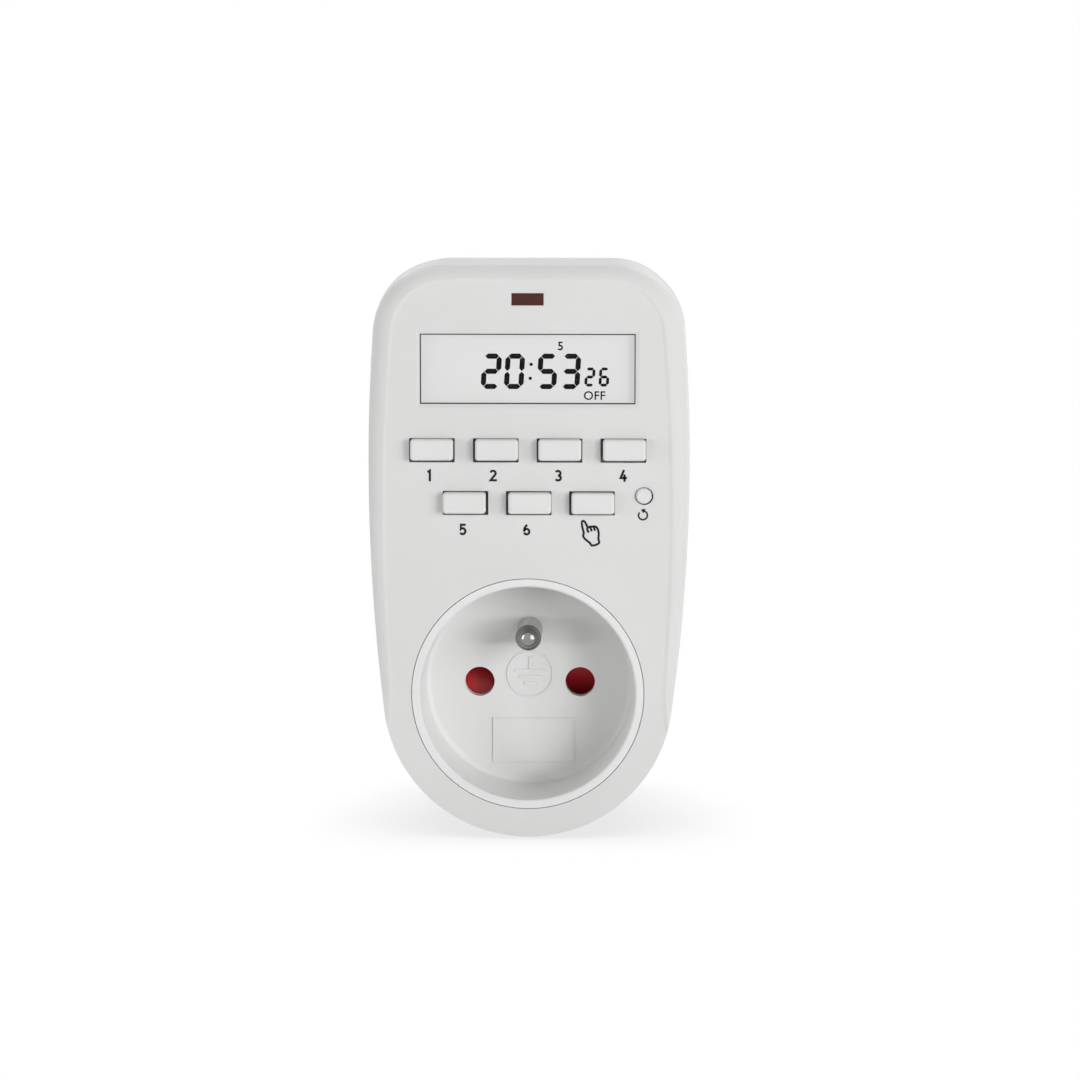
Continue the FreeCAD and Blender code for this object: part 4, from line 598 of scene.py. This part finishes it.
def letter_mesh(text, height, weight, near, far):
    """Plain sans characters as a mesh in millimetres, centred on the origin."""
    curve = bpy.data.curves.new("characters", "FONT")
    curve.body = text
    curve.align_x = "CENTER"
    curve.offset = weight
    curve.resolution_u = 6
    curve.space_character = 1.05
    writer = bpy.data.objects.new("characters", curve)
    bpy.context.scene.collection.objects.link(writer)
    bpy.context.view_layer.update()
    shaped = writer.evaluated_get(bpy.context.evaluated_depsgraph_get())
    flat = bpy.data.meshes.new_from_object(shaped)
    bpy.data.objects.remove(writer)
    bpy.data.curves.remove(curve)
    bm = bmesh.new()
    bm.from_mesh(flat)
    bpy.data.meshes.remove(flat)
    bmesh.ops.remove_doubles(bm, verts=bm.verts, dist=0.0001)
    low = [min(v.co[k] for v in bm.verts) for k in (0, 1)]
    high = [max(v.co[k] for v in bm.verts) for k in (0, 1)]
    scale = height / (high[1] - low[1])
    middle = [(low[k] + high[k]) / 2.0 for k in (0, 1)]
    for v in bm.verts:
        v.co = Vector(((v.co.x - middle[0]) * scale, far, (v.co.y - middle[1]) * scale))
    grown = bmesh.ops.extrude_face_region(bm, geom=list(bm.faces))
    for item in grown["geom"]:
        if isinstance(item, bmesh.types.BMVert):
            item.co.y = near
    return bm


def bow(across, up, wide, tall, start, end, steps=12):
    """Points on an arc of an ellipse, from one angle to another in degrees."""
    turns = [math.radians(start + (end - start) * i / steps) for i in range(steps + 1)]
    return [(across + wide * math.cos(t), up + tall * math.sin(t)) for t in turns]


def number_strokes(digit):
    """Middle lines of a bold number one unit high, centred on the origin."""
    return {
        "1": [[(-0.2, 0.27), (0.0, 0.4), (0.0, -0.5)]],
        "2": [bow(0.0, 0.19, 0.21, 0.21, 165.0, -35.0) + [(-0.2, -0.4), (0.32, -0.4)]],
        "3": [bow(-0.02, 0.2, 0.2, 0.2, 150.0, -90.0),
              bow(-0.02, -0.19, 0.23, 0.21, 90.0, -150.0)],
        "4": [[(0.08, 0.5), (-0.2, -0.18), (0.32, -0.18)], [(0.12, 0.12), (0.12, -0.5)]],
        "5": [[(0.24, 0.4), (-0.15, 0.4), (-0.18, 0.02)]
              + bow(-0.02, -0.15, 0.23, 0.25, 120.0, -150.0)],
        "6": [bow(0.2, -0.12, 0.4, 0.54, 110.0, 180.0),
              bow(0.01, -0.17, 0.22, 0.23, 180.0, -160.0, 20)],
    }[digit]


def number_mesh(digit, height, near, far):
    """The number's strokes as flat lines, centred on the origin."""
    bm = bmesh.new()
    for run in number_strokes(digit):
        points = [(x * height, z * height) for x, z in run]
        add_line(bm, points, NUMBER_STROKE_SHARE * height, near, far)
    return bm


def segment_outlines(width, height, stroke, gap):
    """The seven segments of a digit, as outlines from the digit's lower left corner."""
    half = stroke / 2.0
    left, right = half, width - half
    low, middle, high = half, height / 2.0, height - half

    def lying(level):
        start, end = left + gap, right - gap
        return [
            (start, level), (start + half, level + half), (end - half, level + half),
            (end, level), (end - half, level - half), (start + half, level - half),
        ]

    def standing(across, lower, upper):
        start, end = lower + gap, upper - gap
        return [
            (across, start), (across - half, start + half), (across - half, end - half),
            (across, end), (across + half, end - half), (across + half, start + half),
        ]

    return {
        "a": lying(high), "g": lying(middle), "d": lying(low),
        "f": standing(left, middle, high), "b": standing(right, middle, high),
        "e": standing(left, low, middle), "c": standing(right, low, middle),
    }


def add_digit(bm, across, up, digit, height, segments, slant, near, far):
    """A digit's lit segments, which lean to the right by slant."""
    width, stroke, gap = segments
    outlines = segment_outlines(width, height, stroke, gap)
    for letter in SEGMENTS_LIT[digit]:
        leaned = [(across + x + z * math.tan(slant), up + z) for x, z in outlines[letter]]
        add_prism(bm, leaned, near, far)


# operators

class TIMER_OT_finish_case(bpy.types.Operator):
    """Finishes the shells, the socket insert and the plug's body"""
    bl_idname = "timer.finish_case"
    bl_label = "Finish the case"

    def execute(self, context):
        colours = context.scene.timer_colours
        dress(("front_cover", "rear_cover"), moulded("case_plastic", colours.case, 0.44))
        # the socket's lighter colour is painted light that lifts the shade in the well
        dress(("socket_cup",), moulded("socket_plastic", colours.socket, 0.4))
        dress(("plug_base",), moulded("plug_plastic", colours.plug, 0.46))
        dress(("contact_carrier",), moulded("carrier_plastic", (0.66, 0.66, 0.64), 0.5))
        return {"FINISHED"}


class TIMER_OT_finish_keys(bpy.types.Operator):
    """Finishes the keys and the rubber pad behind them"""
    bl_idname = "timer.finish_keys"
    bl_label = "Finish the keys"

    def execute(self, context):
        colours = context.scene.timer_colours
        names = [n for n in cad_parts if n.endswith("_button")]
        if not names:
            raise RuntimeError("the frame has no keys")
        plastic = moulded("key_plastic", colours.keys, 0.38, grain=0.00028, depth=0.000004)
        # painted shade darkens the keys' colour in the narrow gaps round them
        paint_gap_shade(plastic, 0.0007)
        dress(names, plastic)
        # the reset key has its own copy of the key plastic, with painted shade of wider reach that
        # darkens its round gap more
        shaded_round_key = moulded("reset_plastic", colours.keys, 0.38, grain=0.00028, depth=0.000004)
        paint_gap_shade(shaded_round_key, 0.0014)
        dress(("reset_button",), shaded_round_key)
        dress(("rubber_keypad",), soft_rubber("keypad_rubber", (0.55, 0.55, 0.54)))
        return {"FINISHED"}


class TIMER_OT_finish_display(bpy.types.Operator):
    """Finishes the window, the display cell and the indicator"""
    bl_idname = "timer.finish_display"
    bl_label = "Finish the display"

    def execute(self, context):
        colours = context.scene.timer_colours
        dress(("display_window",), clear_window("window_plastic"))
        # the cell's glow of 0.54 is painted light, which evens its field and fills the shade of
        # the window's recess
        dress(("lcd_glass",), display_cell("cell_glass", colours.display, 0.54))
        dress(("lcd_frame",), moulded("frame_plastic", (0.75, 0.75, 0.74), 0.5))
        dress(("zebra_strips",), soft_rubber("strip_rubber", (0.10, 0.10, 0.10)))
        lens = polished(
            "lens_plastic", colours.lens, 0.3, spread=0.12, **{"Specular IOR Level": 0.15})
        dress(("indicator_lens",), lens)
        dress(("indicator_led",), polished("lamp_plastic", (0.60, 0.08, 0.06), 0.2))
        return {"FINISHED"}


class TIMER_OT_finish_metal(bpy.types.Operator):
    """Finishes the pins, contacts, screws and springs"""
    bl_idname = "timer.finish_metal"
    bl_label = "Finish the metal parts"

    def execute(self, context):
        colours = context.scene.timer_colours
        pins = plated("pin_plating", colours.plating, 0.14, (1.0, 0.06, 1.0))
        dress(PLATED_PINS, pins)
        clips = plated("clip_plating", colours.plating, 0.24, (0.1, 1.0, 1.0))
        dress(("upper_earth_clip", "lower_earth_clip"), clips)
        brass = plated("contact_brass", (0.75, 0.55, 0.25), 0.26, (0.08, 1.0, 1.0))
        contacts = ("line_contact", "neutral_contact", "earth_strap", "earth_receptacle")
        dress(contacts, brass)
        screws = plated("screw_zinc", (0.55, 0.55, 0.56), 0.3, (1.0, 0.2, 1.0))
        dress(("housing_screws", "board_screws"), screws)
        wire = plated("spring_wire", (0.50, 0.50, 0.51), 0.22, (1.0, 1.0, 0.2), grain=0.0002)
        dress(("shutter_spring",), wire)
        cans = plated("can_metal", (0.68, 0.68, 0.69), 0.2, (1.0, 0.1, 1.0))
        dress(("clock_crystal", "backup_battery"), cans)
        return {"FINISHED"}


class TIMER_OT_finish_inside(bpy.types.Operator):
    """Finishes the shutter, the boards, their components and the leads"""
    bl_idname = "timer.finish_inside"
    bl_label = "Finish the inside"

    def execute(self, context):
        colours = context.scene.timer_colours
        dress(("safety_shutter",), moulded("shutter_plastic", colours.shutter, 0.36, spread=0.1))
        dress(("display_board", "power_board"), solder_mask("board_lacquer"))
        black = moulded("chip_moulding", (0.03, 0.03, 0.03), 0.5)
        dress(("controller_chip", "rectifier_diodes"), black)
        dress(("relay",), polished("relay_case", (0.03, 0.10, 0.30), 0.3))
        dress(("film_capacitor",), polished("film_case", (0.65, 0.50, 0.08), 0.3))
        dress(("smoothing_capacitor",), polished("sleeve_film", (0.03, 0.03, 0.06), 0.25))
        dress(("varistor",), polished("disc_coating", (0.05, 0.14, 0.40), 0.35))
        dress(("board_link",), polished("link_film", (0.60, 0.60, 0.62), 0.3))
        dress(("line_lead",), polished("brown_cover", (0.16, 0.06, 0.03), 0.4))
        dress(("load_lead",), polished("black_cover", (0.02, 0.02, 0.02), 0.4))
        dress(("neutral_lead",), polished("blue_cover", (0.03, 0.10, 0.40), 0.4))
        return {"FINISHED"}


class TIMER_OT_key_marks(bpy.types.Operator):
    """Prints the numbers, the pointing hand and the reset arrow on the face"""
    bl_idname = "timer.key_marks"
    bl_label = "Print the key marks"

    def execute(self, context):
        sizes = context.scene.timer_sizes
        ink = printed("face_ink", context.scene.timer_colours.ink, **{"Specular IOR Level": 0.15})
        near = FACE_LEVEL - sizes.print_depth / MM
        far = FACE_LEVEL + PRINT_SINK
        for name, (across, up) in KEY_MARK_PLACES.items():
            bm = number_mesh(name[-1], sizes.number_height / MM, near, far)
            bmesh.ops.translate(bm, vec=(across, 0.0, up), verts=bm.verts)
            new_piece(name, bm, "housing", ink)
        bm = bmesh.new()
        line = sizes.hand_line / MM
        add_line(bm, rounded_points(HAND_OUTLINE, HAND_ROUNDING), line, near, far, closed=True)
        for fold in HAND_FOLDS:
            add_line(bm, fold, line, near, far)
        new_piece("hand_sign", bm, "housing", ink)
        self.reset_arrow(near, far, ink)
        return {"FINISHED"}

    @staticmethod
    def reset_arrow(near, far, ink):
        """The round arrow, with its head at the first of its two angles."""
        run = bow(*ARROW_MIDDLE, ARROW_RADIUS, ARROW_RADIUS, *ARROW_TURNS, steps=20)
        bm = bmesh.new()
        add_line(bm, run, ARROW_LINE, near, far)
        end = Vector(run[0])
        along = (end - Vector(run[1])).normalized()
        side = Vector((-along.y, along.x)) * ARROW_HEAD_HALF
        head = [end + side, end + along * ARROW_HEAD_LENGTH, end - side]
        add_prism(bm, [tuple(p) for p in head], near, far)
        new_piece("reset_sign", bm, "housing", ink)


class TIMER_OT_display_marks(bpy.types.Operator):
    """Draws the display's digits, colon and state on the cell"""
    bl_idname = "timer.display_marks"
    bl_label = "Draw the display"

    def execute(self, context):
        sizes = context.scene.timer_sizes
        colour = context.scene.timer_colours.segments
        black = printed("segment_black", colour, **{"Specular IOR Level": 0.05})
        near = GLASS_LEVEL - sizes.segment_depth / MM
        far = GLASS_LEVEL + PRINT_SINK
        bm = bmesh.new()
        for digits, segments, height in (
            (LARGE_DIGITS, LARGE_SEGMENTS, sizes.large_digit_height / MM),
            (SMALL_DIGITS, SMALL_SEGMENTS, sizes.small_digit_height / MM),
        ):
            for across, up, digit in digits:
                add_digit(bm, across, up, digit, height, segments, sizes.digit_slant, near, far)
        for across, up in COLON_DOTS:
            add_prism(bm, circle_points(across, up, COLON_RADIUS, 24), near, far)
        new_piece("display_digits", bm, "housing", black)
        for name, (text, height, weight, (across, up)) in DISPLAY_TEXTS.items():
            bm = letter_mesh(text, height, weight, near, far)
            bmesh.ops.translate(bm, vec=(across, 0.0, up), verts=bm.verts)
            new_piece(name, bm, "housing", black)
        return {"FINISHED"}


class TIMER_OT_window_seal(bpy.types.Operator):
    """Lays the thin dark seal between the window and the face, which also paints in the shade of
    the gap there
    """
    bl_idname = "timer.window_seal"
    bl_label = "Lay the window's seal"

    def execute(self, context):
        low, high = (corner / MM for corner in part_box("display_window"))
        middle = (low + high) / 2.0
        half_wide, half_tall = WINDOW_SIZE[0] / 2.0, WINDOW_SIZE[1] / 2.0
        bm = bmesh.new()
        edges = []
        for reach in (-SEAL_LAP, WINDOW_GAP - SEAL_ROOM):
            x, z = half_wide + reach, half_tall + reach
            lower, upper = middle.z - z, middle.z + z
            edges.append([(-x, lower), (x, lower), (x, upper), (-x, upper)])
        add_band(bm, edges[0], edges[1], low.y - SEAL_RISE, low.y + SEAL_DEPTH)
        # the seal's near-black colour is partly its own and partly painted shade of the gap round
        # the window, over whose edge it laps
        rubber = soft_rubber("seal_rubber", (0.03, 0.03, 0.03))
        new_piece("window_seal", bm, "housing", rubber)
        return {"FINISHED"}


class TIMER_OT_well_marks(bpy.types.Operator):
    """Raises the earth sign and the bare plate outline on the well's floor"""
    bl_idname = "timer.well_marks"
    bl_label = "Raise the well's marks"

    def execute(self, context):
        raised = context.scene.timer_sizes.raised_height / MM
        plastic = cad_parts["socket_cup"].material_slots[0].material
        near, far = WELL_LEVEL - raised, WELL_LEVEL + RAISED_SINK
        bm = bmesh.new()
        inner, outer = [circle_points(*EARTH_RING_MIDDLE, r, 96) for r in EARTH_RING_RADII]
        add_band(bm, inner, outer, near, far)
        new_piece("earth_ring", bm, "housing", plastic, soften=RAISED_SOFTNESS)
        bm = bmesh.new()
        add_line(bm, EARTH_STEM, EARTH_STEM_WIDTH, near, far)
        middle = EARTH_STEM[0][0]
        for half, up in EARTH_BARS:
            add_line(bm, [(middle - half, up), (middle + half, up)], EARTH_BAR_WIDTH, near, far)
        new_piece("earth_sign", bm, "housing", plastic, soften=RAISED_SOFTNESS)
        bm = bmesh.new()
        add_line(bm, PLATE_CORNERS, PLATE_LINE, near, far, closed=True)
        new_piece("plate_outline", bm, "housing", plastic, soften=RAISED_SOFTNESS)
        return {"FINISHED"}


class TIMER_OT_build_stage(bpy.types.Operator):
    """Sets the floor, the lamps, the surround and the camera"""
    bl_idname = "timer.build_stage"
    bl_label = "Build the stage"

    def execute(self, context):
        studio = context.scene.timer_studio
        self.floor()
        self.surround(context.scene, studio.surround)
        pins = self.lit_pins()
        for name, (side, height, wide, tall, power, mirrored, pins_alone) in LAMPS.items():
            place = self.toward(math.radians(side), math.radians(height))
            lamp = self.lamp(name, place, wide, tall, getattr(studio, power))
            lamp.visible_glossy = mirrored
            if pins_alone:
                lamp.light_linking.receiver_collection = pins
        self.camera(context.scene, studio)
        context.scene.view_settings.view_transform = "Standard"
        return {"FINISHED"}

    @staticmethod
    def toward(side, height):
        """Direction from the object to what stands at these angles from its front."""
        level = math.cos(height)
        return Vector((math.sin(side) * level, -math.cos(side) * level, math.sin(height)))

    @staticmethod
    def seen_directly(tree):
        """One where a camera, mirror or glass ray arrives, and nought for light."""
        path = add_node(tree, "ShaderNodeLightPath")
        first = add_node(tree, "ShaderNodeMath", operation="MAXIMUM")
        tree.links.new(path.outputs["Is Camera Ray"], first.inputs[0])
        tree.links.new(path.outputs["Is Glossy Ray"], first.inputs[1])
        second = add_node(tree, "ShaderNodeMath", operation="MAXIMUM")
        tree.links.new(first.outputs[0], second.inputs[0])
        tree.links.new(path.outputs["Is Transmission Ray"], second.inputs[1])
        return second.outputs[0]

    def floor(self):
        """Pale paper that shows as plain white, with a faint shadow where the object stands."""
        bm = bmesh.new()
        half = FLOOR_HALF
        corners = [(-half, -half), (half, -half), (half, half), (-half, half)]
        bm.faces.new([bm.verts.new((x * MM, y * MM, GROUND_LEVEL * MM)) for x, y in corners])
        mesh = bpy.data.meshes.new("studio_floor")
        bm.to_mesh(mesh)
        bm.free()
        floor = bpy.data.objects.new("studio_floor", mesh)
        bpy.context.scene.collection.objects.link(floor)
        material = bpy.data.materials.new("floor_paper")
        material.use_nodes = True
        tree = material.node_tree
        tree.nodes.clear()
        place = add_node(tree, "ShaderNodeTexCoord").outputs["Object"]
        paper = add_node(tree, "ShaderNodeBsdfDiffuse")
        tone = add_node(tree, "ShaderNodeMix", data_type="RGBA")
        tone.inputs[6].default_value = PAPER_TONES[0]
        tone.inputs[7].default_value = PAPER_TONES[1]
        tree.links.new(speckle(tree, place, 0.05), tone.inputs[0])
        tree.links.new(tone.outputs[2], paper.inputs["Color"])
        openness = add_node(
            tree, "ShaderNodeAmbientOcclusion", {"Distance": SHADOW_REACH}, samples=16)
        shadow = add_node(tree, "ShaderNodeMapRange", {
            "From Min": 0.25, "From Max": 0.95, "To Min": SHADOW_TONE, "To Max": 1.0})
        tree.links.new(openness.outputs["AO"], shadow.inputs["Value"])
        white = add_node(tree, "ShaderNodeEmission")
        tree.links.new(shadow.outputs["Result"], white.inputs["Strength"])
        choice = add_node(tree, "ShaderNodeMixShader")
        tree.links.new(self.seen_directly(tree), choice.inputs[0])
        tree.links.new(paper.outputs[0], choice.inputs[1])
        tree.links.new(white.outputs[0], choice.inputs[2])
        output = add_node(tree, "ShaderNodeOutputMaterial")
        tree.links.new(choice.outputs[0], output.inputs["Surface"])
        mesh.materials.append(material)

    def surround(self, scene, strength):
        """Even light from all round, which itself shows as plain white."""
        world = bpy.data.worlds.new("studio_surround")
        world.use_nodes = True
        tree = world.node_tree
        tree.nodes.clear()
        even = (1.0, 1.0, 1.0, 1.0)
        light = add_node(tree, "ShaderNodeBackground", {"Color": even, "Strength": strength})
        white = add_node(tree, "ShaderNodeBackground", {"Color": even, "Strength": 1.0})
        choice = add_node(tree, "ShaderNodeMixShader")
        tree.links.new(self.seen_directly(tree), choice.inputs[0])
        tree.links.new(light.outputs[0], choice.inputs[1])
        tree.links.new(white.outputs[0], choice.inputs[2])
        output = add_node(tree, "ShaderNodeOutputWorld")
        tree.links.new(choice.outputs[0], output.inputs["Surface"])
        scene.world = world

    @staticmethod
    def lit_pins():
        """The plated pins, which the two strip lamps light alone."""
        pins = bpy.data.collections.new("lit_pins")
        for name in PLATED_PINS:
            pins.objects.link(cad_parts[name])
        return pins

    @staticmethod
    def lamp(name, toward, wide, tall, power):
        """A soft rectangular lamp that faces the object."""
        light = bpy.data.lights.new(name, "AREA")
        light.shape = "RECTANGLE"
        light.size = wide
        light.size_y = tall
        light.energy = power
        lamp = bpy.data.objects.new(name, light)
        lamp.location = AIM_POINT + toward * LAMP_DISTANCE
        lamp.rotation_euler = (-toward).to_track_quat("-Z", "Y").to_euler()
        bpy.context.scene.collection.objects.link(lamp)
        return lamp

    def camera(self, scene, studio):
        """The camera at the photograph's angle."""
        toward = self.toward(studio.side_angle, studio.height_angle)
        lens = bpy.data.cameras.new("product_camera")
        lens.sensor_width = FILM_WIDTH
        lens.lens = FOCAL_LENGTH
        lens.clip_start = 0.01
        lens.clip_end = 50.0
        camera = bpy.data.objects.new("product_camera", lens)
        camera.location = AIM_POINT + toward * studio.distance
        camera.rotation_euler = (-toward).to_track_quat("-Z", "Y").to_euler()
        scene.collection.objects.link(camera)
        scene.camera = camera


STEPS = (
    TIMER_OT_finish_case,
    TIMER_OT_finish_keys,
    TIMER_OT_finish_display,
    TIMER_OT_finish_metal,
    TIMER_OT_finish_inside,
    TIMER_OT_key_marks,
    TIMER_OT_display_marks,
    TIMER_OT_window_seal,
    TIMER_OT_well_marks,
    TIMER_OT_build_stage,
)


class TIMER_PT_panel(bpy.types.Panel):
    """Colours, sizes and steps of the timer switch"""
    bl_idname = "TIMER_PT_panel"
    bl_label = "Timer switch"
    bl_space_type = "VIEW_3D"
    bl_region_type = "UI"
    bl_category = "Timer"

    def draw(self, context):
        for title, group in (
            ("Colours", context.scene.timer_colours),
            ("Sizes", context.scene.timer_sizes),
            ("Studio", context.scene.timer_studio),
        ):
            box = self.layout.box()
            box.label(text=title)
            for key in group.bl_rna.properties.keys():
                if key not in ("rna_type", "name"):
                    box.prop(group, key)
        for step in STEPS:
            self.layout.operator(step.bl_idname)


GROUPS = {"timer_colours": TimerColours, "timer_sizes": TimerSizes, "timer_studio": TimerStudio}


def register():
    for group in GROUPS.values():
        bpy.utils.register_class(group)
    for step in STEPS:
        bpy.utils.register_class(step)
    bpy.utils.register_class(TIMER_PT_panel)
    for name, group in GROUPS.items():
        setattr(bpy.types.Scene, name, bpy.props.PointerProperty(type=group))


def unregister():
    for name in GROUPS:
        delattr(bpy.types.Scene, name)
    bpy.utils.unregister_class(TIMER_PT_panel)
    for step in reversed(STEPS):
        bpy.utils.unregister_class(step)
    for group in reversed(list(GROUPS.values())):
        bpy.utils.unregister_class(group)


def main():
    """Registers the add-on and runs its steps in order."""
    register()
    bpy.ops.timer.finish_case()
    bpy.ops.timer.finish_keys()
    bpy.ops.timer.finish_display()
    bpy.ops.timer.finish_metal()
    bpy.ops.timer.finish_inside()
    bpy.ops.timer.key_marks()
    bpy.ops.timer.display_marks()
    bpy.ops.timer.window_seal()
    bpy.ops.timer.well_marks()
    bpy.ops.timer.build_stage()


if __name__ == "__main__":
    main()
